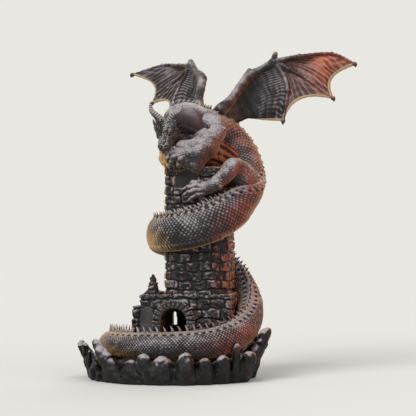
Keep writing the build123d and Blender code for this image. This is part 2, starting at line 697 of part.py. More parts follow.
# ---------------------------------------------------------------- the figure
def build():
    """Every node of the figure, by name."""
    nodes = dict(build_tower())
    slab, shards = build_base()
    nodes["rock_base"] = slab

    tower = [nodes[n] for n in ("tower_upper", "tower_lower", "tower_crown", "tower_plinth")]
    spine = Spine()
    wings = {"left": Wing(1), "right": Wing(-1)}

    torso = spine.piece(NECK_STATION, HIP_STATION)
    torso = torso + spine.spikes(NECK_STATION + 0.3, BARE_STATIONS[0], 0.75)
    torso = torso + spine.spikes(BARE_STATIONS[1], HIP_STATION - 0.3, 0.75)
    torso = torso + [wing.boss() for wing in wings.values()]
    torso = cut(torso, *(wing.socket() for wing in wings.values()), *tower[:3])
    nodes["torso"] = cut(torso, spine.key(NECK_STATION, KEY_CLEARANCE), spine.key(HIP_STATION, KEY_CLEARANCE))

    neck = spine.piece(0, NECK_STATION)
    neck = neck + spine.spikes(0.4, NECK_STATION - 0.2, 0.6)
    neck = cut(neck, *(wing.boss() for wing in wings.values()), spine.key(0, KEY_CLEARANCE))
    nodes["neck"] = biggest(neck + spine.key(NECK_STATION))

    parting = (HIP_STATION, COIL_STATION, TAIL_STATION, TIP_STATION, spine.last)
    names = ("haunch_coil", "middle_coil", "lower_coil", "tail_tip")
    for name, start, end in zip(names, parting, parting[1:]):
        coil = biggest(spine.piece(start, end) + spine.spikes(start + 0.12, end - 0.1))
        if end != spine.last:
            coil = cut(coil, spine.key(end, KEY_CLEARANCE))
        coil = biggest(coil + spine.key(start))
        if name in ("haunch_coil", "middle_coil"):
            coil = cut(coil, *tower)
        elif name == "lower_coil":
            coil = cut(coil, nodes["tower_plinth"], nodes["tower_lower"])
        nodes[name] = coil

    shards = [cut(shard, *(nodes[n] for n in ("lower_coil", "tail_tip", "tower_plinth"))) for shard in shards]
    half = len(shards) // 2
    nodes["rock_shards_back"] = Compound(children=shards[:half])
    nodes["rock_shards_front"] = Compound(children=shards[half:])

    head = Head(spine.points[0])
    skull = cut(head.skull(), nodes["neck"])
    nodes["skull"] = skull
    nodes["lower_jaw"] = cut(head.jaw(), skull, nodes["neck"], *tower[:1])
    for name, side in (("horn_left", 1), ("horn_right", -1)):
        nodes[name] = cut(head.horn(side), skull, nodes["neck"])

    body = [nodes[n] for n in ("torso", "haunch_coil", "neck")]
    limbs = {
        "arm_left": (ARM_LEFT, 1.0),
        "hand_left": (HAND_LEFT, HAND_FLATTEN),
        "arm_right": (ARM_RIGHT, 1.0),
        "hand_right": (HAND_RIGHT, HAND_FLATTEN),
        "leg_left": (LEG_LEFT, 1.0),
        "foot_left": (FOOT_LEFT, HAND_FLATTEN),
        "leg_right": (LEG_RIGHT, 1.0),
        "foot_right": (FOOT_RIGHT, HAND_FLATTEN),
    }
    made = []
    for name, (joints, flatten) in limbs.items():
        shape = cut(limb(joints, flatten=flatten), *body, *tower[:3], *made[-1:], nodes["skull"], nodes["lower_jaw"])
        made.append(shape)
        nodes[name] = shape

    plates = [cut(p, *body, *(nodes[n] for n in limbs), *tower[:3]) for p in belly_plates(spine)]
    nodes["belly_plates"] = Compound(children=plates)

    for name, wing in wings.items():
        frame = wing.frame()
        nodes[f"wing_{name}_bones"] = frame
        nodes[f"wing_{name}_membrane"] = Compound(children=[cut(panel, frame) for panel in wing.membrane()])
    return nodes


def main():
    """Writes each node to parts/NODE.step."""
    os.makedirs("parts", exist_ok=True)
    for name, shape in build().items():
        export_step(shape, os.path.join("parts", f"{name}.step"))
        print(name, len(shape.solids()), "solids", round(shape.volume), "mm3", len(shape.faces()), "faces")


main()
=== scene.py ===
"""A dragon coiled round a castle tower on a rock base: a painted cast resin figure.

The sculpted surfaces are worked out in millimetres and turned into metres when a mesh is made.
X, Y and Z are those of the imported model: Z up, the gate towards -Y.
"""

import enum
import logging
import math
from dataclasses import dataclass, field, replace

import bpy
import numpy as np
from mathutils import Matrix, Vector

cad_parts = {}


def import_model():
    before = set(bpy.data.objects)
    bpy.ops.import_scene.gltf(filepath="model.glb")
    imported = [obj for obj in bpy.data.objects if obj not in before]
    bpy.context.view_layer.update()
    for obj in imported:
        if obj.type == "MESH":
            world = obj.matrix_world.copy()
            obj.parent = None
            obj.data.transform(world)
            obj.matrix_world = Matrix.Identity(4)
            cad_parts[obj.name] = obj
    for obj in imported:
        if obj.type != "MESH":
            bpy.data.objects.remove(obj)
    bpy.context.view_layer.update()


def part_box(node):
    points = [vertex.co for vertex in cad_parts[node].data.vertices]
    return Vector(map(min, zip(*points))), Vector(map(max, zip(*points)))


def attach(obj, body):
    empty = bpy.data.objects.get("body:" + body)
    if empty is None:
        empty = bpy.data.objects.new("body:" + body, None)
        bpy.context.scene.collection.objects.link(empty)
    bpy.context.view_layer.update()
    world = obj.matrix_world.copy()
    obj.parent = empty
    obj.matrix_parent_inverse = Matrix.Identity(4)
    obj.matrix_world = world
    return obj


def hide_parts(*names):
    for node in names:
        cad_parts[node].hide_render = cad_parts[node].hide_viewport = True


log = logging.getLogger("figure")
MM = 0.001
EMPTY = 5.0  # what an empty sample of clay holds, in millimetres from a surface
Array = np.ndarray
Point = tuple | np.ndarray


# ---- small maths
def unit(v: Array) -> Array:
    """Scales the vectors in the last axis to length one."""
    return v / np.maximum(np.linalg.norm(v, axis=-1, keepdims=True), 1e-9)


def ramp(x: Array, low: float, high: float) -> Array:
    """Goes smoothly from 0 where x is low to 1 where it is high."""
    t = np.clip((x - low) / (high - low), 0.0, 1.0)
    return t * t * (3.0 - 2.0 * t)


def curve(values: Array, t: Array) -> Array:
    """Follows a smooth curve through equally spaced values.

    Args:
        values: one row for each station.
        t: stations to evaluate, which may lie between two.

    Returns:
        One row for each t.
    """
    values = np.asarray(values, float)
    values = values.reshape(len(values), -1)
    t = np.atleast_1d(np.asarray(t, float))
    i = np.clip(t.astype(int), 0, len(values) - 2)
    f = (t - i)[:, None]
    b, c = values[i], values[i + 1]
    a = np.where((i > 0)[:, None], values[np.maximum(i - 1, 0)], 2 * b - c)
    d = np.where((i + 2 < len(values))[:, None], values[np.minimum(i + 2, len(values) - 1)], 2 * c - b)
    return 0.5 * (2 * b + (c - a) * f + (2 * a - 5 * b + 4 * c - d) * f**2 + (3 * b - a - 3 * c + d) * f**3)


class Noise:
    """Repeatable noise over points in millimetres."""

    @staticmethod
    def dice(cell: Array, seed: int) -> Array:
        """Gives each whole-number cell a fixed random number.

        Args:
            cell: integer cells in the last axis, one to three numbers each.
            seed: which set of random numbers.

        Returns:
            Numbers from 0 to 1.
        """
        primes = np.array([73856093, 19349663, 83492791], np.int64)[: cell.shape[-1]]
        h = (cell.astype(np.int64) * primes).sum(-1) + seed * 2654435761
        h = (h ^ (h >> 13)) * 1274126177 & 0xFFFFFFFF
        h = (h ^ (h >> 15)) * 2246822519 & 0xFFFFFFFF
        return ((h ^ (h >> 16)) & 0xFFFFFF) / float(0x1000000)

    @classmethod
    def smooth(cls, p: Array, size: float, seed: int = 0, octaves: int = 1) -> Array:
        """Smooth noise whose bumps are about size across.

        Args:
            p: points, n by 3.
            size: width of a bump in millimetres.
            seed: which noise.
            octaves: how many finer layers are added.

        Returns:
            Values from about -1 to 1.
        """
        total, gain = np.zeros(len(p)), 1.0
        for octave in range(octaves):
            q = p / size
            base = np.floor(q).astype(np.int64)
            f = q - base
            f = f * f * (3 - 2 * f)
            for corner in np.ndindex(2, 2, 2):
                weight = np.prod(np.where(np.array(corner), f, 1 - f), axis=1)
                total += gain * weight * (2 * cls.dice(base + np.array(corner), seed + octave) - 1)
            size, gain = size / 2, gain / 2
        return total

    @classmethod
    def cells(cls, p: Array, size: float, seed: int = 0) -> tuple[Array, Array, Array]:
        """Splits space into irregular cells.

        Args:
            p: points, n by 3.
            size: width of a cell in millimetres.
            seed: which cells.

        Returns:
            Distance to the cell's centre and to the next cell's, in cells, and a random number for the cell.
        """
        q = p / size
        base = np.floor(q).astype(np.int64)
        near, second, which = np.full(len(p), 9.0), np.full(len(p), 9.0), np.zeros(len(p))
        for offset in np.ndindex(3, 3, 3):
            cell = base + np.array(offset) - 1
            centre = cell + np.stack([cls.dice(cell, seed + k) for k in range(3)], 1)
            d = np.linalg.norm(q - centre, axis=1)
            closer = d < near
            second = np.where(closer, near, np.minimum(second, d))
            which = np.where(closer, cls.dice(cell, seed + 7), which)
            near = np.where(closer, d, near)
        return near, second, which


def put(name: str, data: bpy.types.ID) -> bpy.types.Object:
    """Puts a new object in the scene.

    Args:
        name: the object's name.
        data: the mesh, lamp or camera that it shows.

    Returns:
        The object, at the origin.
    """
    obj = bpy.data.objects.new(name, data)
    bpy.context.scene.collection.objects.link(obj)
    return obj


# ---- sculpted surfaces
@dataclass
class Sculpt:
    """A surface in millimetres with the paint masks of each vertex."""

    verts: Array
    faces: list = field(default_factory=list)
    # relief: low parts take painted shade (and dark stone joints), raised parts painted highlights; tint: red
    # painted light where positive, ochre painted rim light where negative
    relief: Array | None = None
    tint: Array | None = None

    def normals(self) -> Array:
        """Works out vertex normals.

        Returns:
            One unit vector for each vertex.
        """
        total = np.zeros_like(self.verts)
        for part in self.faces:
            a, b, c = (self.verts[part[:, k]] for k in (0, 1, part.shape[1] - 1))
            n = np.cross(b - a, c - a)
            for k in range(part.shape[1]):
                for axis in range(3):
                    total[:, axis] += np.bincount(part[:, k], n[:, axis], len(total))
        return unit(total)

    def push(self, height: Array) -> "Sculpt":
        """Moves each vertex outwards along its normal, by its height in millimetres."""
        self.verts = self.verts + self.normals() * height[:, None]
        return self

    def volume(self) -> float:
        """Works out the signed volume.

        Returns:
            Cubic millimetres, positive when the faces look outwards.
        """
        total = 0.0
        for part in self.faces:
            for k in range(1, part.shape[1] - 1):
                a, b, c = (self.verts[part[:, i]] for i in (0, k, k + 1))
                total += float(np.einsum("ij,ij->i", a, np.cross(b, c)).sum())
        return total / 6.0

    def masks(self) -> tuple[Array, Array]:
        """The relief and the tint of each vertex, or plain ones where none were set."""
        plain = np.full(len(self.verts), 0.5), np.zeros(len(self.verts))
        return tuple(p if mask is None else mask for mask, p in zip((self.relief, self.tint), plain))

    def join(self, other: "Sculpt") -> "Sculpt":
        """Adds another sculpt's surface to this one.

        Args:
            other: what to add.

        Returns:
            A new sculpt with both.
        """
        faces = self.faces + [part + len(self.verts) for part in other.faces]
        masks = (np.concatenate(pair) for pair in zip(self.masks(), other.masks()))
        return Sculpt(np.vstack([self.verts, other.verts]), faces, *masks)

    def build(self, name: str, finish: "Finish") -> bpy.types.Object:
        """Makes the Blender mesh object.

        Args:
            name: the object's name.
            finish: how it is painted.

        Returns:
            The object, at the origin.
        """
        faces = self.faces if self.volume() >= 0 else [part[:, ::-1] for part in self.faces]
        mesh = bpy.data.meshes.new(name)
        mesh.vertices.add(len(self.verts))
        mesh.vertices.foreach_set("co", (self.verts * MM).astype(np.float32).ravel())
        loops = np.concatenate([part.ravel() for part in faces])
        sizes = np.concatenate([np.full(len(part), part.shape[1]) for part in faces])
        mesh.loops.add(len(loops))
        mesh.loops.foreach_set("vertex_index", loops.astype(np.int32))
        mesh.polygons.add(len(sizes))
        mesh.polygons.foreach_set("loop_start", np.concatenate([[0], np.cumsum(sizes)[:-1]]).astype(np.int32))
        mesh.polygons.foreach_set("loop_total", sizes.astype(np.int32))
        for mask, values in zip(("relief", "tint"), self.masks()):
            layer = mesh.attributes.new(mask, "FLOAT", "POINT")
            layer.data.foreach_set("value", values.astype(np.float32))
        mesh.update(calc_edges=True)
        mesh.validate()
        mesh.shade_smooth()
        mesh.materials.append(finish.material())
        return put(name, mesh)


def lattice(rows: Array) -> Sculpt:
    """Skins rings of points and closes the two ends.

    Args:
        rows: points, rings by around by 3.

    Returns:
        A sculpt. The vertices keep the grid's order, and the two end centres follow them.
    """
    n, m = rows.shape[:2]
    index = np.arange(n * m).reshape(n, m)
    after = np.roll(index, -1, axis=1)
    quads = np.stack([index[:-1], after[:-1], after[1:], index[1:]], -1).reshape(-1, 4)
    ends = [n * m, n * m + 1]
    caps = [
        np.stack([np.full(m, ends[0]), after[0], index[0]], 1),
        np.stack([np.full(m, ends[1]), index[-1], after[-1]], 1),
    ]
    verts = np.vstack([rows.reshape(-1, 3), rows[0].mean(0), rows[-1].mean(0)])
    return Sculpt(verts, [quads, *caps])


@dataclass
class Sheet:
    """A thin solid between two grids of points."""

    front: Array
    back: Array

    @staticmethod
    def _quads(grid: Array) -> Array:
        """The faces of a grid of vertex numbers."""
        return np.stack([grid[:-1, :-1], grid[:-1, 1:], grid[1:, 1:], grid[1:, :-1]], -1).reshape(-1, 4)

    def skin(self) -> Sculpt:
        """Joins the two grids round their edge.

        Returns:
            One closed surface.
        """
        n, m = self.front.shape[:2]
        a = np.arange(n * m).reshape(n, m)
        b = a + n * m
        faces = [self._quads(a), self._quads(b)[:, ::-1]]
        for one, two in (
            (a[0], b[0]), (a[:, -1], b[:, -1]), (a[-1, ::-1], b[-1, ::-1]), (a[::-1, 0], b[::-1, 0]),
        ):
            faces.append(np.stack([one[1:], one[:-1], two[:-1], two[1:]], 1))
        return Sculpt(np.vstack([self.front.reshape(-1, 3), self.back.reshape(-1, 3)]), faces)


# ---- solid shapes for blending
@dataclass(frozen=True)
class Capsule:
    """A tapered rod with round ends."""

    a: Point
    b: Point
    ra: float
    rb: float

    def reach(self) -> tuple[Array, Array]:
        """Lowest and highest corner."""
        ends, r = np.array([self.a, self.b], float), max(self.ra, self.rb)
        return ends.min(0) - r, ends.max(0) + r

    def distance(self, at: tuple) -> Array:
        """Works out how far points lie outside the surface.

        Args:
            at: the points' X, Y and Z, three arrays that broadcast together.

        Returns:
            The distances in millimetres, negative inside.
        """
        a, b = np.array(self.a, float), np.array(self.b, float)
        d = b - a
        length = max(float(d @ d), 1e-9)
        x, y, z = (p - c for p, c in zip(at, a))
        t = np.clip((x * d[0] + y * d[1] + z * d[2]) / length, 0, 1)
        away = (x - t * d[0]) ** 2 + (y - t * d[1]) ** 2 + (z - t * d[2]) ** 2
        return np.sqrt(away) - (self.ra + (self.rb - self.ra) * t)


@dataclass(frozen=True)
class Blob:
    """An ellipsoid turned to three axes."""

    centre: Point
    radii: tuple
    axes: tuple = ((1, 0, 0), (0, 1, 0), (0, 0, 1))

    def reach(self) -> tuple[Array, Array]:
        """Lowest and highest corner."""
        c = np.array(self.centre, float)
        return c - max(self.radii), c + max(self.radii)

    def distance(self, at: tuple) -> Array:
        """Works out how far points lie outside the surface.

        Args:
            at: the points' X, Y and Z, three arrays that broadcast together.

        Returns:
            The distances in millimetres, negative inside.
        """
        x, y, z = (p - c for p, c in zip(at, self.centre))
        near, steep = 0.0, 0.0
        for axis, r in zip(self.axes, self.radii):
            along = x * axis[0] + y * axis[1] + z * axis[2]
            near = near + (along / r) ** 2
            steep = steep + (along / r**2) ** 2
        near = np.sqrt(near)
        return near * (near - 1) / np.maximum(np.sqrt(steep), 1e-6)


@dataclass(frozen=True)
class Slab:
    """A box with rounded edges, turned to three axes."""

    centre: Point
    half: tuple
    axes: tuple = ((1, 0, 0), (0, 1, 0), (0, 0, 1))
    rounded: float = 0.3
    taper: float = 0.0

    def reach(self) -> tuple[Array, Array]:
        """Lowest and highest corner."""
        c, r = np.array(self.centre, float), float(np.linalg.norm(self.half))
        return c - r, c + r

    def distance(self, at: tuple) -> Array:
        """Works out how far points lie outside the surface.

        Args:
            at: the points' X, Y and Z, three arrays that broadcast together.

        Returns:
            The distances in millimetres, negative inside.
        """
        x, y, z = (p - c for p, c in zip(at, self.centre))
        along = [x * a[0] + y * a[1] + z * a[2] for a in self.axes]
        narrow = 1 - self.taper * np.clip(along[2] / self.half[2], -1, 1)
        sides = zip(along, self.half, (narrow, narrow, 1))
        over = [np.abs(a) - half * share + self.rounded for a, half, share in sides]
        outside = np.sqrt(sum(np.maximum(o, 0) ** 2 for o in over))
        return outside + np.minimum(np.maximum(np.maximum(over[0], over[1]), over[2]), 0) - self.rounded


@dataclass(frozen=True)
class Disc:
    """An upright round slab."""

    centre: tuple
    radius: float
    half: float

    def reach(self) -> tuple[Array, Array]:
        """Lowest and highest corner."""
        c = np.array(self.centre, float)
        return c - [self.radius, self.radius, self.half], c + [self.radius, self.radius, self.half]

    def distance(self, at: tuple) -> Array:
        """Millimetres from the surface at three arrays of coordinates, negative inside."""
        x, y, z = (p - c for p, c in zip(at, self.centre))
        return np.maximum(np.sqrt(x**2 + y**2) - self.radius, np.abs(z) - self.half)


Shape = Capsule | Blob | Slab | Disc


def chain(points: Point | list, steps: int = 4) -> list[Shape]:
    """Rods along a smooth line.

    Args:
        points: the joints of the line, each x, y, z and radius.
        steps: rods between two joints.

    Returns:
        The rods.
    """
    t = np.linspace(0, len(points) - 1, steps * (len(points) - 1) + 1)
    rows = curve(np.array(points, float), t)
    return [Capsule(p[:3], q[:3], float(p[3]), float(q[3])) for p, q in zip(rows, rows[1:])]


class Clay:
    """A block of space in which shapes are blended and cut, and whose surface is then taken."""

    def __init__(self, low: Point, high: Point, grain: float) -> None:
        """Sets aside the block.

        Args:
            low: lowest corner in millimetres.
            high: highest corner.
            grain: distance between two samples.
        """
        self.low, self.grain = np.array(low, float), grain
        count = np.ceil((np.array(high, float) - self.low) / grain).astype(int) + 1
        self.value = np.full(tuple(count), EMPTY, np.float32)

    def _window(self, shape: Shape, margin: float) -> tuple[tuple, tuple]:
        """Finds the part of the block that a shape reaches.

        Args:
            shape: the shape.
            margin: how far round it, in millimetres.

        Returns:
            The part's slices and its three coordinate arrays.
        """
        low, high = shape.reach()[0] - margin, shape.reach()[1] + margin
        first = np.clip(np.floor((low - self.low) / self.grain).astype(int), 0, np.array(self.value.shape) - 1)
        last = np.clip(np.ceil((high - self.low) / self.grain).astype(int) + 1, 1, self.value.shape)
        where = tuple(slice(a, max(b, a)) for a, b in zip(first, last))
        lines = (low + self.grain * np.arange(w.start, w.stop) for low, w in zip(self.low, where))
        x, y, z = (line.astype(np.float32) for line in lines)
        return where, (x[:, None, None], y[None, :, None], z[None, None, :])

    def add(self, shapes: Shape | list[Shape], blend: float = 0.8, sign: int = 1) -> "Clay":
        """Adds shapes that run into each other and blend softly into what is there.

        Args:
            shapes: one shape or a list.
            blend: width of the soft blend in millimetres.
            sign: 1 to add, or -1 to cut out.

        Returns:
            This block.
        """
        for shape in shapes if isinstance(shapes, list) else [shapes]:
            where, at = self._window(shape, blend + 2 * self.grain + 1)
            new, old = sign * shape.distance(at).astype(np.float32), self.value[where]
            if old.size:
                h = np.clip(0.5 + 0.5 * sign * (new - old) / blend, 0, 1)
                self.value[where] = new * (1 - h) + old * h - sign * blend * h * (1 - h)
        return self

    def cut(self, shapes: Shape | list[Shape], blend: float = 0.3) -> "Clay":
        """Cuts shapes out, with edges as soft as the blend in millimetres."""
        return self.add(shapes, blend, -1)

    def surface(self, relax: int = 1) -> Sculpt:
        """Takes the closed surface of what is in the block.

        Args:
            relax: rounds of smoothing.

        Returns:
            A sculpt of quads.
        """
        f = np.pad(self.value, 1, constant_values=EMPTY)
        inside = f < 0
        shape = tuple(s - 1 for s in f.shape)
        count = np.zeros(shape, np.int8)
        for c in np.ndindex(2, 2, 2):
            count += inside[c[0] : c[0] + shape[0], c[1] : c[1] + shape[1], c[2] : c[2] + shape[2]]
        cells = np.argwhere((count > 0) & (count < 8))
        number = np.full(shape, -1, np.int64)
        number[tuple(cells.T)] = np.arange(len(cells))
        total, hits = np.zeros((len(cells), 3)), np.zeros(len(cells))
        for axis in range(3):
            step = np.eye(3, dtype=int)[axis]
            for c in np.ndindex(2, 2, 2):
                if c[axis]:
                    continue
                p = cells + np.array(c)
                fa, fb = f[tuple(p.T)], f[tuple((p + step).T)]
                crossed = (fa < 0) != (fb < 0)
                share = np.where(crossed, fa / np.where(crossed, fa - fb, 1), 0)
                total += np.where(crossed[:, None], np.array(c) + share[:, None] * step, 0)
                hits += crossed
        verts = self.low + (cells - 1 + total / hits[:, None]) * self.grain
        quads = []
        for axis in range(3):
            u, v = (axis + 1) % 3, (axis + 2) % 3
            a = np.moveaxis(inside, axis, 0)[:-1]
            b = np.moveaxis(inside, axis, 0)[1:]
            edge = np.argwhere(np.moveaxis(a != b, 0, axis))
            edge = edge[(edge[:, u] > 0) & (edge[:, v] > 0)]
            du, dv = np.eye(3, dtype=int)[[u, v]]
            ring = [edge - du - dv, edge - dv, edge, edge - du]
            quad = np.stack([number[tuple(r.T)] for r in ring], 1)
            out = inside[tuple(edge.T)]
            quads.append(np.where(out[:, None], quad, quad[:, ::-1]))
        sculpt = Sculpt(verts, [np.vstack(quads)])
        for _ in range(relax):
            sculpt.verts = 0.5 * sculpt.verts + 0.5 * self._around(sculpt)
        return sculpt

    @staticmethod
    def _around(sculpt: Sculpt) -> Array:
        """Averages each vertex's neighbours.

        Args:
            sculpt: a sculpt of quads.

        Returns:
            One point for each vertex.
        """
        quad = sculpt.faces[0]
        total, hits = np.zeros_like(sculpt.verts), np.zeros(len(sculpt.verts))
        for k in range(4):
            for other in (quad[:, (k + 1) % 4], quad[:, (k - 1) % 4]):
                for axis in range(3):
                    total[:, axis] += np.bincount(quad[:, k], sculpt.verts[other, axis], len(total))
                hits += np.bincount(quad[:, k], minlength=len(total))
        return total / np.maximum(hits, 1)[:, None]


# ---- paint
def shade(code: str) -> tuple[float, float, float, float]:
    """Turns the six hexadecimal digits of an sRGB colour into the linear colour that the renderer takes."""
    parts = [int(code[i : i + 2], 16) / 255 for i in (0, 2, 4)]
    return (*(p / 12.92 if p <= 0.04045 else ((p + 0.055) / 1.055) ** 2.4 for p in parts), 1.0)


def empty_tree(owner: bpy.types.ID) -> bpy.types.NodeTree:
    """Clears the nodes of a material or a world.

    Args:
        owner: the material or the world.

    Returns:
        Its node tree.
    """
    owner.use_nodes = True
    owner.node_tree.nodes.clear()
    return owner.node_tree


def add_node(
    tree: bpy.types.NodeTree, kind: str, inputs: dict | None = None, **settings: object
) -> bpy.types.Node:
    """Adds a node with its settings and links.

    Args:
        tree: the tree to add to.
        kind: the node's type.
        inputs: input name or number, to a value, an output socket, or a node whose first live output is meant.
        settings: the node's own settings.

    Returns:
        The node.
    """
    node = tree.nodes.new(kind)
    for key, value in settings.items():
        setattr(node, key, value)
    for key, value in (inputs or {}).items():
        if isinstance(value, bpy.types.Node):
            value = next(socket for socket in value.outputs if socket.enabled)
        if isinstance(value, bpy.types.NodeSocket):
            tree.links.new(value, node.inputs[key])
        else:
            node.inputs[key].default_value = value
    return node


class Grain(enum.Enum):
    """What the fine surface of a finish is: pressed scales, or the grit of stone."""

    SCALES = "scales"
    GRIT = "grit"


MATHS, VECTORS, RAMP = "ShaderNodeMath", "ShaderNodeVectorMath", "ShaderNodeMapRange"
SMOOTH = {"interpolation_type": "SMOOTHSTEP"}
# the colour mix node's sockets: share, first colour, second colour
SHARE, FIRST, SECOND = 0, 6, 7


@dataclass(frozen=True)
class Finish:
    """Brushed acrylic paint on cast resin: a black wash as painted shade in the hollows, base coat,
    dry-brushed painted highlights on the edges, red painted light and ochre painted rim light.

    The colours are a black wash that paints shade into the hollows, a base coat, and the pale paint
    dry-brushed over the raised edges and tops as painted highlight and top light. The red is painted light on
    what faces the dragon's left, and the ochre is painted warm rim light on what turns to its back.
    """

    name: str
    # colours of the painted shade in the hollows, of the base coat, and of the painted highlights
    shadow: str
    base: str
    drybrush_highlight: str
    # red painted light: its colour, its colour in the hollows, and its strength
    red_light: str = "9c4429"
    red_light_deep: str = "43150e"
    red_light_share: float = 0.8
    # ochre painted warm rim light: its colour and its strength
    rim_light: str = "b8925a"
    rim_light_share: float = 0.72
    roughness: float = 0.56
    zenith: float = 0.5  # how much more of the pale paint lies on top than below, as painted top light
    speck: float = 0.1  # how patchy the dry-brushing is
    grain: Grain = Grain.GRIT
    grain_size: float = 1.2  # millimetres
    grain_depth: float = 0.25  # millimetres

    def material(self) -> bpy.types.Material:
        """Makes the material, or returns the one made before."""
        return bpy.data.materials.get(self.name) or self._paint()

    def _paint(self) -> bpy.types.Material:
        """Builds the material: a wash of painted shade and a dry-brush of painted highlights by relief, red
        painted light and ochre painted rim light by facing, grain as bump.

        Returns:
            The material.
        """
        paint = bpy.data.materials.new(self.name)
        tree = empty_tree(paint)
        place = add_node(tree, "ShaderNodeTexCoord").outputs["Object"]
        masks = self._masks(tree, place)
        wear_and_shading, above = masks["wear_and_shading"], masks["above"]
        # the red painted light, on what faces the dragon's left
        red = add_node(tree, MATHS, {0: masks["left"], 1: 0.75, 2: 0.25}, operation="MULTIPLY_ADD")
        for factor in (masks["red side"], masks["raised"], self.red_light_share, masks["patchy"]):
            red = add_node(tree, MATHS, {0: red, 1: factor}, operation="MULTIPLY")
        red = add_node(tree, MATHS, {0: red, 1: masks["tint"]}, operation="MAXIMUM")
        # the pale paint: painted highlights on raised parts and painted top light, thin where the red painted
        # light is
        high = add_node(tree, MATHS, {0: above, 1: 0.5}, operation="SUBTRACT")
        high = add_node(tree, MATHS, {0: high, 1: self.zenith, 2: wear_and_shading}, operation="MULTIPLY_ADD")
        pale = add_node(tree, RAMP, {"Value": high, "From Min": 0.5, "From Max": 1.05}, **SMOOTH)
        lit = add_node(tree, MATHS, {0: above, 1: 0.7, 2: 0.3}, operation="MULTIPLY_ADD")
        bare = add_node(tree, MATHS, {0: red, 1: -0.65, 2: 1.0}, operation="MULTIPLY_ADD")
        for factor in (masks["specks"], lit, bare):
            pale = add_node(tree, MATHS, {0: pale, 1: factor}, operation="MULTIPLY")
        # the ochre painted warm rim light from behind, thin on the very back
        rim_light = add_node(tree, MATHS, {0: masks["behind"], 1: -0.8, 2: 1.0}, operation="MULTIPLY_ADD")
        for factor in (masks["back"], self.rim_light_share, masks["rim_light"]):
            rim_light = add_node(tree, MATHS, {0: rim_light, 1: factor}, operation="MULTIPLY")
        rim_light = add_node(tree, MATHS, {0: rim_light, 1: masks["rim_light_tint"]}, operation="MAXIMUM")
        warm = {SHARE: masks["warm"], FIRST: shade(self.red_light_deep), SECOND: shade(self.red_light)}
        # base coat, red painted light, painted highlights, ochre painted rim light, and painted shade in the
        # hollows, laid over the shadow colour
        layers = (
            (masks["coat"], shade(self.base)),
            (red, add_node(tree, "ShaderNodeMix", warm, data_type="RGBA")),
            (pale, shade(self.drybrush_highlight)),
            (rim_light, shade(self.rim_light)),
            (masks["hollow"], shade(self.shadow)),
        )
        colour = shade(self.shadow)
        for share, layer in layers:
            mixed = {SHARE: share, FIRST: colour, SECOND: layer}
            colour = add_node(tree, "ShaderNodeMix", mixed, data_type="RGBA")
        uneven_shine = {0: masks["speckle"], 1: 0.16, 2: self.roughness - 0.08}
        depth = {"Strength": 0.9, "Distance": self.grain_depth * MM, "Height": self._grain(tree, place)}
        # acrylic varnish is matt: IOR 1.5 with a low specular level
        surface = {
            "Base Color": colour,
            "Roughness": add_node(tree, MATHS, uneven_shine, operation="MULTIPLY_ADD"),
            "Normal": add_node(tree, "ShaderNodeBump", depth),
            "Specular IOR Level": 0.32,
        }
        shader = add_node(tree, "ShaderNodeBsdfPrincipled", surface)
        add_node(tree, "ShaderNodeOutputMaterial", {"Surface": shader})
        return paint

    def _masks(self, tree: bpy.types.NodeTree, place: bpy.types.NodeSocket) -> dict[str, object]:
        """Works out where each layer of paint lies.

        Args:
            tree: the finish's node tree.
            place: where on the piece.

        Returns:
            A node or socket for each mask, by its name.
        """
        normal = add_node(tree, "ShaderNodeNewGeometry").outputs["Normal"]
        relief, tint = (
            add_node(tree, "ShaderNodeAttribute", attribute_name=n).outputs["Fac"] for n in ("relief", "tint")
        )
        # brush marks: soft patches 6 mm wide, and bristle specks 0.7 mm wide, which are
        # coarser than real ones so that they show
        blotch, speckle = (
            add_node(tree, "ShaderNodeTexNoise", {"Vector": place, "Scale": 1 / (size * MM), "Detail": detail})
            for size, detail in ((6.0, 3.0), (0.7, 2.0))
        )
        uneven = add_node(tree, MATHS, {0: blotch, 1: 0.5}, operation="SUBTRACT")
        wear_and_shading = add_node(tree, MATHS, {0: uneven, 1: 0.35, 2: relief}, operation="MULTIPLY_ADD")
        # which way a surface faces: up for painted top light, the dragon's left for red painted light, the
        # back for ochre painted rim light
        facing = [
            (name, add_node(tree, VECTORS, {0: normal, 1: way}, operation="DOT_PRODUCT"), low, high)
            for name, way, low, high in (
                ("above", (-0.2, -0.35, 0.9), -0.45, 0.85),
                ("red side", (0.95, -0.28, 0.1), 0.3, 0.86),
                ("back", (0.0, 1.0, -0.06), -0.64, -0.12),
                ("behind", (0.0, 1.0, 0.0), 0.1, 0.6),
            )
        ]
        across = add_node(tree, "ShaderNodeSeparateXYZ", {0: place}).outputs[0]
        patchy = add_node(tree, MATHS, {0: blotch, 1: wear_and_shading}, operation="ADD")
        # coat and hollow lay painted shade in low relief; left, raised, patchy and warm shape the red painted
        # light; the ochre masks shape the painted rim light
        return {"tint": tint, "wear_and_shading": wear_and_shading, "speckle": speckle} | {
            name: add_node(tree, RAMP, {"Value": value, "From Min": low, "From Max": high}, **SMOOTH)
            for name, value, low, high in (
                *((name, dot.outputs[1], low, high) for name, dot, low, high in facing),
                ("coat", wear_and_shading, 0.0, 0.6),
                ("left", across, 2 * MM, 42 * MM),
                ("raised", relief, 0.06, 0.3),
                ("patchy", patchy, 0.4, 1.1),
                ("warm", wear_and_shading, 0.1, 0.85),
                ("specks", speckle, self.speck, 0.55),
                ("rim_light", wear_and_shading, 0.1, 0.6),
                ("rim_light_tint", tint, -0.1, -0.9),
                ("hollow", wear_and_shading, 0.28, -0.1),
            )
        }

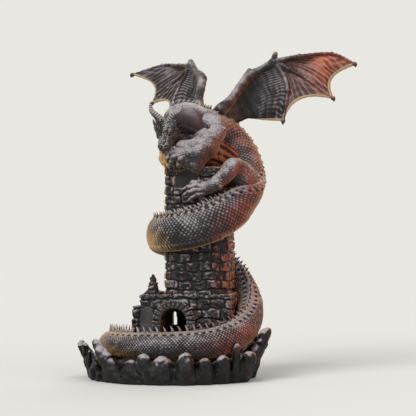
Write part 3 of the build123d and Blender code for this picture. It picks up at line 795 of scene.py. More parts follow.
    def _grain(self, tree: bpy.types.NodeTree, place: bpy.types.NodeSocket) -> bpy.types.Node:
        """Makes the height of the fine surface.

        Args:
            tree: the finish's node tree.
            place: where on the piece.

        Returns:
            The node that gives the height.
        """
        if self.grain is Grain.GRIT:
            grit = {"Vector": place, "Scale": 1 / (self.grain_size * MM), "Detail": 5.0}
            return add_node(tree, "ShaderNodeTexNoise", grit)
        longer = add_node(tree, VECTORS, {0: place, 1: (1.0, 1.0, 0.8)}, operation="MULTIPLY")
        scale = {"Vector": longer, "Scale": 1 / (self.grain_size * MM)}
        edge = add_node(tree, "ShaderNodeTexVoronoi", scale, feature="DISTANCE_TO_EDGE")
        rise = {"Value": edge, "From Min": 0.0, "From Max": 0.28}
        dome = add_node(tree, RAMP, rise, **SMOOTH)
        fine = add_node(tree, "ShaderNodeTexNoise", {"Vector": place, "Scale": 1 / (0.5 * MM), "Detail": 2.0})
        return add_node(tree, MATHS, {0: fine, 1: 0.25, 2: dome}, operation="MULTIPLY_ADD")


class Paint:
    """The finishes of the figure, each brushed acrylic over cast resin with light and shade painted into it.
    """

    # stone cast in resin, washed black and dry-brushed: dark joints with painted shade in the hollows, chalky
    # pale lips as painted highlights, strong red painted light, grit of 1.6 mm
    STONE = Finish(
        "acrylic_drybrushed_stone", "070607", "262325", "8f898c", red_light_share=1.5, rim_light_share=0.38,
        roughness=0.6, grain_size=1.6,
    )
    # near-black rock with pale tops as painted top light: the base reads as one dark mass under bright painted
    # highlights
    ROCK = Finish(
        "acrylic_drybrushed_rock", "050405", "181617", "a49ea2", red_light_share=0.7, rim_light_share=0.34,
        roughness=0.58, grain_size=2.2,
    )
    # hide of the limbs and head: soft pale brushwork over pebbled scales, as painted highlights and painted
    # top light, half matt
    HIDE = Finish(
        "acrylic_brushed_hide", "080607", "302c2e", "a9a2a5", red_light_share=0.75, rim_light_share=0.5, roughness=0.5,
        zenith=0.62, speck=-0.25, grain=Grain.SCALES, grain_depth=0.12,
    )
    # scales of the coils: pale dots of painted highlight on dark hide that turn red, then ochre, round the
    # side, as red painted light and ochre painted rim light
    COIL = Finish(
        "acrylic_glazed_scales", "080607", "292527", "9c9598", red_light_share=0.9, roughness=0.5, grain_size=0.8,
        grain_depth=0.12,
    )
    # the neck: smoother and paler, with more painted top light and a faint pink painted light
    NAPE = replace(
        COIL, name="acrylic_brushed_nape", base="3a3537", red_light="8d5a50", red_light_share=0.5, rim_light_share=0.3,
        zenith=0.8,
    )
    # the back: the warmest of the scales, orange and ochre, as red painted light and ochre painted rim light
    BACK = replace(COIL, name="acrylic_glazed_back", red_light="a3552f", rim_light_share=0.95)
    # horns, spikes and teeth: light grey growth rings as painted highlights, a little glossier edges
    HORN = Finish(
        "acrylic_drybrushed_horn", "0b090a", "3a3537", "aaa3a5", red_light_share=0.5, grain_size=0.9,
        grain_depth=0.1,
    )
    # belly plates: thick orange-red glaze with red painted light over it, pooling dark between the plates as
    # painted shade
    BELLY = Finish(
        "acrylic_glazed_belly", "160706", "6a2617", "b3603f", red_light="b0502c", red_light_share=1.0, grain_size=1.0
    )
    # thin cast skin of the wings: dark and creased, with translucent-looking orange painted light at the tips
    # and painted highlights on the creases
    SKIN = Finish(
        "acrylic_glazed_wing_skin", "0a0809", "2a2628", "7d7578", red_light="cb6d40", red_light_deep="6f2a19",
        red_light_share=0.2, rim_light="b69a6c", rim_light_share=0.3, roughness=0.58, grain_size=1.0, grain_depth=0.16,
    )


# ---- repeated pieces
class Scatter:
    """A Geometry Nodes tree that sets a copy of one mesh on each of many points."""

    SEED = 11

    def __init__(self) -> None:
        """Builds the tree once; its inputs have names and are set by their sockets' identifiers."""
        self.tree = tree = bpy.data.node_groups.new("scatter", "GeometryNodeTree")
        face = tree.interface
        face.new_socket("Geometry", in_out="INPUT", socket_type="NodeSocketGeometry")
        self.ports = {
            name: face.new_socket(name, in_out="INPUT", socket_type=kind).identifier
            for name, kind in (
                ("Copy", "NodeSocketObject"),
                ("Finish", "NodeSocketMaterial"),
                ("Turn jitter", "NodeSocketFloat"),
                ("Size jitter", "NodeSocketFloat"),
                ("Seed", "NodeSocketInt"),
            )
        }
        face.new_socket("Geometry", in_out="OUTPUT", socket_type="NodeSocketGeometry")
        start = add_node(tree, "NodeGroupInput").outputs
        up, side, size = (
            add_node(tree, "GeometryNodeInputNamedAttribute", {"Name": n}, data_type="FLOAT_VECTOR").outputs[0]
            for n in ("up", "side", "size")
        )
        jitter, wobble = (
            add_node(
                tree,
                "FunctionNodeRandomValue",
                {
                    0: add_node(tree, MATHS, {0: start[spread], 1: -1.0}, operation="MULTIPLY"),
                    1: start[spread],
                    "Seed": start["Seed"],
                },
                data_type="FLOAT_VECTOR",
            )
            for spread in ("Turn jitter", "Size jitter")
        )
        grown = add_node(tree, VECTORS, {0: wobble, 1: (1, 1, 1)}, operation="ADD")
        axes = {"Primary Axis": up, "Secondary Axis": side}
        kinds = {"primary_axis": "Z", "secondary_axis": "X"}
        shown = add_node(tree, "GeometryNodeObjectInfo", {"Object": start["Copy"]})
        copies = {
            "Points": add_node(tree, "GeometryNodeMeshToPoints", {"Mesh": start["Geometry"]}),
            "Instance": shown.outputs["Geometry"],
            "Rotation": add_node(tree, "FunctionNodeAxesToRotation", axes, **kinds),
            "Scale": add_node(tree, VECTORS, {0: grown, 1: size}, operation="MULTIPLY"),
        }
        turned = {"Instances": add_node(tree, "GeometryNodeInstanceOnPoints", copies), "Rotation": jitter}
        turned = add_node(tree, "GeometryNodeRotateInstances", turned)
        real = add_node(tree, "GeometryNodeRealizeInstances", {"Geometry": turned})
        painted = add_node(tree, "GeometryNodeSetMaterial", {"Geometry": real, "Material": start["Finish"]})
        add_node(tree, "NodeGroupOutput", {"Geometry": painted})

    def place(
        self, name: str, copy: Sculpt, finish: Finish, points: Array, up: Array, side: Array, size: Array,
        turn: float, wobble: float,
    ) -> bpy.types.Object:
        """Sets copies of a sculpt on points.

        Args:
            name: the new object's name.
            copy: what is repeated, about its own origin, with Z out of the surface.
            finish: how it is painted.
            points: where, in millimetres.
            up: the direction of the copy's Z at each point.
            side: the direction nearest to the copy's X at each point.
            size: three scales for each point.
            turn: random turn in radians, either way.
            wobble: random share of the size, either way.

        Returns:
            One mesh object at the origin.
        """
        points = np.asarray(points, float)
        mesh = bpy.data.meshes.new(name + "_points")
        mesh.from_pydata((points * MM).tolist(), [], [])
        for key, data in (("up", up), ("side", side), ("size", size)):
            layer = mesh.attributes.new(key, "FLOAT_VECTOR", "POINT")
            values = np.broadcast_to(np.asarray(data, np.float32), points.shape)
            layer.data.foreach_set("vector", np.ascontiguousarray(values, np.float32).ravel())
        holder, source = put(name + "_points", mesh), copy.build(name + "_copy", finish)
        modifier = holder.modifiers.new("scatter", "NODES")
        modifier.node_group = self.tree
        values = {
            "Copy": source,
            "Finish": finish.material(),
            "Turn jitter": turn,
            "Size jitter": wobble,
            "Seed": self.SEED + len(points),
        }
        for key, value in values.items():
            modifier[self.ports[key]] = value
        graph = bpy.context.evaluated_depsgraph_get()
        made = bpy.data.meshes.new_from_object(holder.evaluated_get(graph), depsgraph=graph)
        made.name = name
        obj = put(name, made)
        holder.modifiers.remove(modifier)
        for spare in (holder, source):
            bpy.data.objects.remove(spare)
        return obj


def hook(length: float = 1.0, lean: float = 0.5, sides: int = 8, rows: int = 6) -> Sculpt:
    """A curved spike along Z that hooks towards X, with a foot one wide.

    Args:
        length: height of the spike.
        lean: how far its tip leans over, in heights.
        sides: points round it.
        rows: rings along it.

    Returns:
        The spike.
    """
    t = np.linspace(0, 1, rows)[:, None]
    radius = 0.5 * (1 - t) ** 0.8 + 0.04
    angle = np.linspace(0, 2 * math.pi, sides, endpoint=False)
    ring = (radius * np.cos(angle) * 1.2 + lean * length * t**2.3, radius * np.sin(angle), length * (t - 0.15))
    shape = lattice(np.stack(np.broadcast_arrays(*ring), -1))
    shape.relief = np.concatenate([np.repeat(0.35 + 0.6 * t, sides), [0.3, 1.0]])
    return shape


# ---- the dragon's line
TOWER = np.array([19.8, 2.0, 0.0])
TOWER_TURN = math.radians(-10.0)
BED = 14.0  # height of the ground slab
SPIKE_PITCH = 4.4  # between two spikes of the tail, and between the beads beside them


@dataclass
class Spine:
    """The line of the back from the nape to the tail's tip, with its section and scale rows."""

    # x, y, z, half width, half depth, dorsal direction
    front: tuple = (
        (1.2, -12.5, 154, 4.8, 4.8, 0.1, 0.3, 0.95),
        (6.6, -8.5, 155.7, 7.4, 7.6, 0.1, 0.1, 1),
        (13, -2.5, 154.7, 9.6, 9.6, 0.1, 0.1, 1),
        (20, 5, 150.5, 12, 11.6, 0.1, 0.1, 1),
        (31.4, 12, 146, 11.6, 11.8, 0.3, 0.2, 0.9),
        (43, 14, 135, 10.6, 11.4, 0.7, 0.45, 0.5),
        (47.6, 8, 121.5, 10.2, 10.8, 0.85, 0.35, 0.35),
        (47, -3.5, 110, 9.4, 10.8, 0.6, 0, 0.8),
    )
    # turn, distance from the tower's axis, z, half width, half depth
    coils: tuple = (
        (42, 26.4, 101, 8.4, 11),
        (80, 25.8, 92.5, 7.4, 11),
        (120, 25.4, 88, 6.8, 10.8),
        (160, 25.5, 86.5, 6.5, 10.5),
        (200, 26, 84.5, 6.6, 10.2),
        (240, 28, 80, 7, 9.8),
        (280, 30.2, 71, 7.5, 9.3),
        (320, 30, 57, 7.8, 9),
        (360, 30, 42, 7.8, 8.8),
        (400, 33.2, 30.5, 8, 8.5),
        (440, 39.6, 23.4, 7.8, 8.2),
        (480, 47.5, 21.8, 7.3, 7.4),
        (520, 54.6, 21.2, 6.6, 6.9),
        (560, 52.5, 20.5, 5.9, 6.2),
        (600, 43.5, 19.5, 5, 5.2),
        (640, 35.5, 18.2, 3.6, 3.8),
        (680, 31, 15.8, 1.2, 1.3),
    )
    scales_round: int = 44  # scales round a section, all the way down the tail
    samples: int = 60  # between two stations

    def __post_init__(self) -> None:
        """Samples the line closely and counts the scale rows along it."""
        rows = [list(r) for r in self.front]
        for turn, distance, z, half_width, half_depth in self.coils:
            a = math.radians(-turn)
            z = max(z, BED + 0.1 + half_depth)
            x, y = TOWER[0] + distance * math.cos(a), TOWER[1] + distance * math.sin(a)
            rows.append([x, y, z, half_width, half_depth, 0, 0, 1])
        last = len(rows) - 1
        self.t = np.linspace(0, last, last * self.samples + 1)
        data = curve(np.array(rows), self.t)
        self.point, self.half, dorsal = data[:, :3], np.maximum(data[:, 3:5], 0.4), data[:, 5:]
        self.along = unit(np.gradient(self.point, axis=0))
        self.dorsal = unit(dorsal - self.along * (dorsal * self.along).sum(1, keepdims=True))
        self.across = np.cross(self.along, self.dorsal)
        step = np.linalg.norm(np.diff(self.point, axis=0), axis=1)
        self.length = np.concatenate([[0], np.cumsum(step)])
        pitch = 2 * math.pi * self.half.mean(1) / self.scales_round
        self.rows = np.concatenate([[0], np.cumsum(step / pitch[1:])])

    def at(self, t: Array) -> dict[str, Array]:
        """Reads everything about the line.

        Args:
            t: stations.

        Returns:
            The point, half sizes, directions, length and scale row at each station.
        """
        names = ("point", "half", "along", "dorsal", "across")
        found = {n: np.stack([np.interp(t, self.t, col) for col in getattr(self, n).T], -1) for n in names}
        found["length"], found["rows"] = np.interp(t, self.t, self.length), np.interp(t, self.t, self.rows)
        return found

    def station(self, length: Array) -> Array:
        """The station at a length along the line."""
        return np.interp(length, self.length, self.t)

    def skin(self, start: float, end: float, round_steps: int, grain: float) -> Sculpt:
        """The scaled skin between two stations.

        Args:
            start: first station.
            end: last station.
            round_steps: points round a section.
            grain: millimetres between two sections.

        Returns:
            The sculpt.
        """
        s0, s1 = np.interp([start, end], self.t, self.length)
        s = np.linspace(s0, s1, max(4, int((s1 - s0) / grain)))
        here = self.at(self.station(s))
        phi = np.linspace(-math.pi, math.pi, round_steps, endpoint=False)
        height, relief = self._scales(here, phi, self.station(s))
        shape = lattice(self.section(here, height, phi))
        shape.relief = np.concatenate([relief.ravel(), [0.3, 0.3]])
        return shape

    @staticmethod
    def section(here: dict[str, Array], grow: Array, phi: Array) -> Array:
        """Draws sections round the line.

        Args:
            here: the line at each section.
            grow: how far each point stands out from the plain section.
            phi: angles from the middle of the back.

        Returns:
            Points, sections by angles by 3.
        """
        width, depth = here["half"][:, :1] + grow, here["half"][:, 1:] + grow
        return (
            here["point"][:, None]
            + here["across"][:, None] * (width * np.sin(phi))[..., None]
            + here["dorsal"][:, None] * (depth * np.cos(phi))[..., None]
        )

    def _scales(self, here: dict[str, Array], phi: Array, station: Array) -> tuple[Array, Array]:
        """Shapes the scales, the crest and the belly plates.

        Args:
            here: the line at each section.
            phi: angles from the middle of the back.
            station: the station of each section.

        Returns:
            Height and paint relief for every section and angle.
        """
        size = here["half"].mean(1)[:, None] / 10.0
        rows = here["rows"][:, None]
        place = here["point"][:, None] + 9 * np.stack([np.sin(phi), np.cos(phi), 0 * phi], -1)[None]
        drift = Noise.smooth(place.reshape(-1, 3), 7.0, 17, 2).reshape(len(here["point"]), len(phi))
        rows = rows + 0.45 * drift
        away = np.abs(phi)[None]
        w = phi[None] / (2 * math.pi) * self.scales_round
        one, other = rows * 0.62 + w * 0.5, rows * 0.62 - w * 0.5  # the two ways that the scale rows run
        a, b = np.mod(one, 1), np.mod(other, 1)
        edge = np.minimum(np.minimum(a, 1 - a), np.minimum(b, 1 - b)) * 2
        which = np.stack(np.broadcast_arrays(np.floor(one), np.floor(other)), -1)
        chance = Noise.dice(which.astype(int), 3)
        dome = ramp(edge, 0.02, 0.55)
        lift = 0.35 + 0.65 * (a + b) / 2
        height = size * (0.46 * dome * lift + 0.16 * (chance - 0.5) + 0.25 * drift)
        relief = 0.08 + dome * (0.4 + 0.42 * (a + b) / 2) + 0.24 * (chance - 0.5) + 0.16 * drift
        # the neck and shoulders are smoother than the coils, and paler as painted top light
        soft = (0.34 * ramp(station, 9.0, 7.0) + 0.42 * ramp(station, 4.4, 2.4))[:, None]
        height = height * (1 - soft)
        relief = relief * (1 - soft) + soft * (0.62 + 0.3 * drift)
        # a crest under the spikes, with a row of pits and beads each side; the pits take painted shade and the
        # beads painted highlight
        spike = here["length"][:, None] / SPIKE_PITCH
        beat = np.abs(np.mod(spike, 1) - 0.5) * 2
        crest = np.exp(-((away / 0.16) ** 2))
        band = np.exp(-(((away - 0.46) / 0.10) ** 2))
        pit = band * ramp(beat, 0.35, 0.8) * (1 - soft)
        bead = band * ramp(1 - beat, 0.35, 0.85)
        calm = ramp(away, 0.75, 0.6)
        height = height * (1 - calm * 0.8) + size * (0.9 * crest + 0.55 * bead - 0.85 * pit)
        relief = relief * (1 - calm * 0.5) + calm * 0.32 + 0.3 * bead - 0.95 * pit + 0.2 * crest
        # broad plates under the belly, darker where one meets the next as painted shade
        under = ramp(away, 2.25, 2.4)
        plate = np.mod(here["length"][:, None] / (3.1 * np.maximum(size, 0.3)), 1)
        saw = ramp(plate, 0.0, 0.25) * (1 - 0.35 * plate)
        height = height * (1 - under) + under * size * 0.75 * saw
        relief = relief * (1 - under) + under * (0.15 + 0.75 * saw)
        return height, relief


SPINE = Spine()


@dataclass(frozen=True)
class SpikeRow:
    """Spikes along the back: where, how many rows, and how long."""

    start: float
    end: float
    spread: float  # angle of each row from the middle of the back, in radians
    height: float
    width: float
    lean: float
    pitch: float = SPIKE_PITCH

    def points(self) -> tuple[Array, Array, Array, Array]:
        """Places the spikes.

        Returns:
            Feet, directions out, directions towards the tail, and sizes.
        """
        s0, s1 = np.interp([self.start, self.end], SPINE.t, SPINE.length)
        first = math.ceil(s0 / self.pitch) * self.pitch
        s = np.arange(first, s1, self.pitch)
        feet, out, back, size = [], [], [], []
        for side in (-1, 1) if self.spread else (0,):
            here = SPINE.at(SPINE.station(s))
            a = side * self.spread
            up = here["dorsal"] * math.cos(a) + here["across"] * math.sin(a)
            reach = here["half"][:, 1:] * math.cos(a) ** 2 + here["half"][:, :1] * math.sin(a) ** 2
            share = np.minimum(1.0, here["half"].mean(1) / 6.5)[:, None]
            feet.append(here["point"] + up * (reach + 0.35 * share))
            out.append(up)
            back.append(here["along"])
            size.append(np.array([[self.width, self.width * 0.8, self.height]]) * share)
        return tuple(np.vstack(v) for v in (feet, out, back, size))


@dataclass
class Body:
    """The torso, neck and coils with their spikes."""

    scatter: Scatter
    section_gap: float = 0.46
    rim_light_tint_from: float = 6.0  # pieces that start after this station have ochre painted rim light under their left side
    # piece: CAD node, first and last station, points round it, rows of spikes
    parts: tuple = (
        ("neck", -0.0, 2.5, 210, (SpikeRow(0.5, 2.5, 0.0, 3.2, 2.0, 0.4, 2.7),)),
        ("torso", 2.4, 7.0, 270, (
            SpikeRow(2.5, 3.6, 0.16, 3.3, 2.1, 0.35, 3.3),
            SpikeRow(3.6, 7.0, 0.16, 1.1, 1.5, 0.5, 3.3),
        )),
        ("haunch_coil", 6.95, 11.5, 250, (
            SpikeRow(7.0, 8.2, 0.17, 1.8, 1.6, 0.5, 3.4),
            SpikeRow(8.2, 11.5, 0.17, 3.2, 1.7, 0.55, 3.4),
        )),
        ("middle_coil", 11.45, 15.5, 240, (SpikeRow(11.5, 15.5, 0.15, 3.0, 1.6, 0.55, 3.4),)),
        ("lower_coil", 15.45, 20.0, 236, (SpikeRow(15.5, 20.0, 0.0, 4.4, 1.7, 0.85),)),
        ("tail_tip", 19.95, 24.0, 170, (SpikeRow(20.0, 23.8, 0.0, 4.8, 1.2, 0.3, 2.3),)),
    )

    def build(self) -> None:
        """Builds each piece and its spikes."""
        for node, start, end, round_steps, rows in self.parts:
            skin = SPINE.skin(start, end, round_steps, self.section_gap)
            finish = {"neck": Paint.NAPE, "torso": Paint.BACK}.get(node, Paint.COIL)
            # ochre painted warm rim light on what faces down and towards -X
            if start > self.rim_light_tint_from:
                out = skin.normals()
                left_under = ramp(-0.82 * out[:, 0] - 0.36 * out[:, 2], 0.42, 0.9)
                skin.tint = -0.8 * left_under * (0.7 + 0.6 * skin.relief)
            hide = skin.build(node + "_hide", finish)
            own(hide, "figure", "hide", node)
            for k, row in enumerate(rows):
                feet, out, back, size = row.points()
                name, spike = f"{node}_spikes_{k}", hook(lean=row.lean)
                made = self.scatter.place(name, spike, Paint.HORN, feet, out, back, size, 0.06, 0.1)
                own(made, "figure", "horn")


def own(obj: bpy.types.Object, body: str, material_slot: str, *nodes: str) -> bpy.types.Object:
    """Ties a piece to its body and the nodes it stands for.

    Args:
        obj: the piece.
        body: the CAD body that it moves with.
        material_slot: the record's slot for its paint; not used.
        nodes: CAD nodes that it replaces.

    Returns:
        The piece.
    """
    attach(obj, body)
    if nodes:
        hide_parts(*nodes)
        boxes = [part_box(node) for node in nodes]
        low, high = np.min([b[0] for b in boxes], 0), np.max([b[1] for b in boxes], 0)
        place = np.empty(len(obj.data.vertices) * 3, np.float32)
        obj.data.vertices.foreach_get("co", place)
        place = place.reshape(-1, 3)
        out = np.maximum(low - place.min(0), place.max(0) - high) / MM
        log.info("%s: %.1f mm outside its node's box at most", obj.name, out.max())
    log.info("%s: %d faces", obj.name, len(obj.data.polygons))
    return obj


# ---- stonework
@dataclass
class Masonry:
    """The tower, plinth and gatehouse, worked in the tower's own frame from the slab's top."""

    scatter: Scatter
    course: float = 5.6  # height of a course of stones
    grain: float = 0.42
    half: float = 18.8  # half the shaft's width across the flats
    cut: float = 6.8  # what a chamfer takes off each side
    front: float = -20.5  # face of the plinth and gatehouse
    arch: tuple = (-12.0, 20.5, 7.9)  # across, height of the springing, radius
    slit: float = -18.6  # across, of the arrow slit in the back wall
    # rows of the crown: height, how far out, height of a stone
    crown: tuple = ((110.6, 0.5, 3.0), (113.6, -0.6, 3.2), (116.6, -0.9, 3.2))

    @staticmethod
    def to_world(p: Array) -> Array:
        """Turns points of the tower's frame into the figure's frame.

        Args:
            p: points, n by 3.

        Returns:
            The same points in the figure's frame.
        """
        c, s = math.cos(TOWER_TURN), math.sin(TOWER_TURN)
        x, y, z = p[:, 0], p[:, 1], p[:, 2]
        return np.stack([TOWER[0] + c * x - s * y, TOWER[1] + s * x + c * y, z + BED], 1)

    def courses(self, shape: Sculpt, seed: int, depth: float = 0.6, course: float = 0.0) -> Sculpt:
        """Carves joints between stones and wears the stones' faces.

        Args:
            shape: a plain surface in the tower's frame.
            seed: which pattern of stones.
            depth: depth of the joints in millimetres.
            course: height of a course, or 0 for the usual.

        Returns:
            The same sculpt, carved and with its relief mask.
        """
        course = course or self.course
        p, n = shape.verts, shape.normals()
        face = np.round(np.arctan2(n[:, 1], n[:, 0]) / (math.pi / 4)).astype(int) % 8
        a = face * math.pi / 4
        flat = np.abs(n[:, 2]) > 0.75
        u = np.where(flat, p[:, 0], -np.sin(a) * p[:, 0] + np.cos(a) * p[:, 1]) + face * 37.0
        v = np.where(flat, p[:, 1] + 50, p[:, 2])
        warp = Noise.smooth(p, 7.0, seed + 1, 2)
        v = v + 1.0 * warp + 0.45 * Noise.smooth(p, 2.4, seed + 2)
        row = np.floor(v / course).astype(int)
        fv = v / course - row
        keys = np.stack([row, face], 1)
        width = 7.0 + 6.5 * Noise.dice(keys, seed + 3)
        slide = u + width * Noise.dice(keys, seed + 4) + 0.55 * Noise.smooth(p, 3.0, seed + 5)
        col = np.floor(slide / width).astype(int)
        fu = slide / width - col
        stone = np.stack([row, face * 64 + col], 1)
        du, dv = np.minimum(fu, 1 - fu) * width, np.minimum(fv, 1 - fv) * course
        joint = 0.16 + 0.14 * Noise.smooth(p, 1.5, seed + 6)
        edge = ramp(np.minimum(du, dv) - joint, 0.0, 0.6) * (0.75 + 0.25 * ramp(np.hypot(du, dv), 0.6, 2.0))
        chance, tilt = Noise.dice(stone, seed + 8), Noise.dice(stone, seed + 9) - 0.5
        wear_and_shading = Noise.smooth(p, 1.9, seed + 10, 3)
        chip = ramp(Noise.smooth(p, 3.2, seed + 14, 2), 0.45, 0.85)
        faces = 0.75 * chance + 0.9 * tilt * (fv - 0.5) + 0.42 * wear_and_shading - 0.6 * chip
        shape.push(edge * faces - depth * (1 - edge))
        # dark joints, with painted shade in chips and pale lips along the stones' edges as painted highlights
        lip = ramp(np.minimum(du, dv) - joint, 0.25, 0.6) * ramp(np.minimum(du, dv) - joint, 1.7, 0.7)
        shape.relief = 0.02 + edge * (0.3 + 0.4 * wear_and_shading + 0.34 * (chance - 0.5) - 0.2 * chip + 0.2 * lip)
        return shape

    def finish(self, shape: Sculpt, name: str, *nodes: str) -> None:
        """Moves a sculpt of the tower's frame into place, and hands it over for the CAD nodes it replaces."""
        shape.verts = self.to_world(shape.verts)
        own(shape.build(name, Paint.STONE), "figure", "stone", *nodes)

    def build(self) -> None:
        """Builds every piece of masonry."""
        self._shaft()
        self._crown()
        self._plinth()
        self._gatehouse()
        self._arch_ring()
        self._turret()

    def _block(self, bottom: float, top: float) -> Clay:
        """Roughs out a length of the shaft.

        Args:
            bottom: its foot.
            top: its head.

        Returns:
            The chamfered block.
        """
        clay = Clay((-20, -20, math.floor(bottom)), (20, 20, math.floor(top) + 1), self.grain)
        middle, d = (bottom + top) / 2, 1 / math.sqrt(2)
        clay.add(Slab((0, 0, middle), (self.half, self.half, (top - bottom) / 2), rounded=0.2))
        cutter = 5.0  # half its thickness
        away = (2 * self.half - self.cut) * d + cutter
        for sx, sy in ((1, 1), (1, -1), (-1, 1), (-1, -1)):
            axes = ((sx * d, sy * d, 0), (-sx * d, sy * d, 0), (0, 0, 1))
            clay.cut(Slab((sx * d * away, sy * d * away, middle), (cutter, 12.0, 45.0), axes, 0.1), 0.2)
        return clay

    def _shaft(self) -> None:
        """Builds the chamfered shaft in its two castings, with its panel and window slots."""
        shape = self.courses(self._block(35.8, 74.05).surface(), 5)
        shape.tint = self._rim_light_corner(shape)
        self.finish(shape, "tower_lower_stone", "tower_lower")
        upper = self._block(73.95, 112.0)
        d, corner = 1 / math.sqrt(2), self.half - self.cut / 2
        for z, tall in ((103.5, 4.0), (93.5, 2.6), (99.0, 1.0)):
            axes = ((d, -d, 0), (d, d, 0), (0, 0, 1))
            upper.cut(Slab((-corner, -corner, z), (1.3, 2.6, tall), axes, 0.2), 0.3)
        shape = self.courses(upper.surface(), 9)
        plain = upper.surface()
        shield = self._oval(plain.verts, -4.6, 104.8, 7.4, 5.6)
        on_front = plain.normals()[:, 1] < -0.7
        mask = ramp(shield, 1.0, 0.9) * on_front
        rim = np.exp(-(((shield - 1.0) / 0.09) ** 2)) * on_front
        shape.verts = shape.verts * (1 - mask[:, None]) + (plain.verts + [0, 0.35, 0]) * mask[:, None]
        shape.verts[:, 1] -= 0.55 * rim
        shape.relief = shape.relief * (1 - mask) + 0.36 * mask + 0.35 * rim
        shape.tint = self._rim_light_corner(shape)
        self.finish(shape, "tower_upper_stone", "tower_upper")

    def _rim_light_corner(self, shape: Sculpt) -> Array:
        """Paints ochre warm rim light along the two edges of the left front corner.

        Args:
            shape: a length of the shaft.

        Returns:
            The tint of each vertex.
        """
        x, y = shape.verts[:, 0], shape.verts[:, 1]
        corner, cut = 2 * self.half - self.cut, self.cut
        on_corner = ramp(-(x + y), corner - 1.6, corner - 0.7)
        edges = np.maximum(ramp(y - x, cut - 3.4, cut - 0.4), 0.4 * ramp(x - y, cut - 1.4, cut - 0.2))
        return -0.66 * on_corner * edges * ramp(shape.relief, 0.1, 0.5)

    @staticmethod
    def _oval(p: Array, x: float, z: float, wide: float, high: float) -> Array:
        """How far points are from the middle (x, z) of a round-topped panel on the front, 1 at its edge."""
        dx, dz = (p[:, 0] - x) / wide, (p[:, 2] - z) / high
        return np.where(dz > 0, np.hypot(dx, dz), np.maximum(np.abs(dx), np.abs(dz)))

    def _crown(self) -> None:
        """Builds the cornice and the broken wall that stands on it."""
        rng, half = np.random.default_rng(21), self.half
        stone = self._rough_stone(4)
        points, up, side, size = [], [], [], []
        for z, out, tall in self.crown:
            for turn in range(4):
                a = turn * math.pi / 2
                normal = np.array([math.sin(a), -math.cos(a), 0])
                along = np.array([math.cos(a), math.sin(a), 0])
                s = -half + 1.5
                while s < half - 1.5:
                    wide = rng.uniform(3.6, 6.2)
                    middle = s + wide / 2
                    s += wide + 0.15
                    corner = max(abs(middle) - (half - self.cut), 0) * 0.95
                    keep = z < 112 or (turn in (0, 3) and middle < -4) or (turn == 2 and middle > 2)
                    keep = keep or (turn == 3 and middle > 6) or (turn == 1 and middle > 4 and z < 115)
                    if not keep or (z > 115 and rng.random() < 0.35):
                        continue
                    points.append(normal * (half - 2.0 + out - corner) + along * middle + [0, 0, z])
                    up.append(normal)
                    side.append(along)
                    size.append((wide, tall + 0.3, 4.4))
        self._set_stones("crown_stones", "tower_crown", stone, (points, up, side, size), (0.09, 0.08))

    def _set_stones(self, name: str, node: str, stone: Sculpt, places: tuple, jitter: tuple) -> None:
        """Sets loose stones and hands them over.

        Args:
            name: the piece's name.
            node: the CAD node that it replaces.
            stone: the stone that is repeated.
            places: each stone's point, outward and sideways directions in the tower's frame, and its size.
            jitter: random turn, and random share of the size.
        """
        points, up, side, size = places
        c, s = math.cos(TOWER_TURN), math.sin(TOWER_TURN)
        up, side = (np.array(ways) @ np.array([[c, s, 0], [-s, c, 0], [0, 0, 1]]) for ways in (up, side))
        world = self.to_world(np.array(points))
        made = self.scatter.place(name, stone, Paint.STONE, world, up, side, size, *jitter)
        own(made, "figure", "stone", node)

    @staticmethod
    def _rough_stone(seed: int) -> Sculpt:
        """Makes a worn block, one millimetre each way before it is sized.

        Args:
            seed: which block.

        Returns:
            The block.
        """
        clay = Clay((-0.65,) * 3, (0.65,) * 3, 0.088).add(Slab((0, 0, 0), (0.5,) * 3, rounded=0.14))
        shape = clay.surface()
        rough = Noise.smooth(shape.verts, 0.38, seed, 3)
        shape.push(0.05 * rough)
        away = np.max(np.abs(shape.verts), 1)
        # paler towards the block's edges, as painted highlights
        shape.relief = 0.42 + 0.3 * rough + 0.3 * ramp(np.sort(np.abs(shape.verts), 1)[:, 1] / away, 0.6, 0.95)
        return shape

    def _plinth(self) -> None:
        """Builds the block under the shaft."""
        clay = Clay((1, -21.5, -0.5), (23, 21.5, 37), self.grain)
        clay.add(Slab((12, 0, 18), (10, 20.5, 18), rounded=0.3))
        self.finish(self.courses(clay.surface(), 17), "plinth_stone", "tower_plinth")

    def _gatehouse(self) -> None:
        """Builds the vaulted gatehouse with its sunk panel and slit."""
        x, z, r = self.arch
        front, back = self.front, -self.front
        clay = Clay((-33.5, -21.5, -0.5), (3, 21.5, 37), self.grain)
        clay.add(Slab((-15.25, 0, 18), (17.25, 20.5, 18), rounded=0.3))
        clay.cut(Capsule((x, front - 9, z), (x, back - 4 - r, z), r, r), 0.3)
        clay.cut(Slab((x, -6.0, z / 2 - 1), (r, 22.5, z / 2 + 1), rounded=0.1), 0.3)
        clay.cut(Slab((self.slit, back - 3, z), (1.2, 6, 4.5), rounded=0.1), 0.2)
        shape = self.courses(clay.surface(), 23)
        plain = clay.surface()
        panel = self._oval(plain.verts, -28.6, 22.0, 4.7, 8.4)
        on_front = (plain.normals()[:, 1] < -0.7) & (plain.verts[:, 1] < front + 1)
        mask = ramp(panel, 1.0, 0.92) * on_front
        slit = (np.abs(plain.verts[:, 0] - self.slit) < 3.2) & (np.abs(plain.verts[:, 2] - z) < 7.0)
        mask = np.maximum(mask, 0.999 * (slit & (plain.verts[:, 1] > back - 7)))
        shape.verts = shape.verts * (1 - mask[:, None]) + (plain.verts + [0, 0.1, 0]) * mask[:, None]
        shape.relief = shape.relief * (1 - mask) + 0.55 * mask
        self.finish(shape, "gatehouse_stone", "gatehouse")

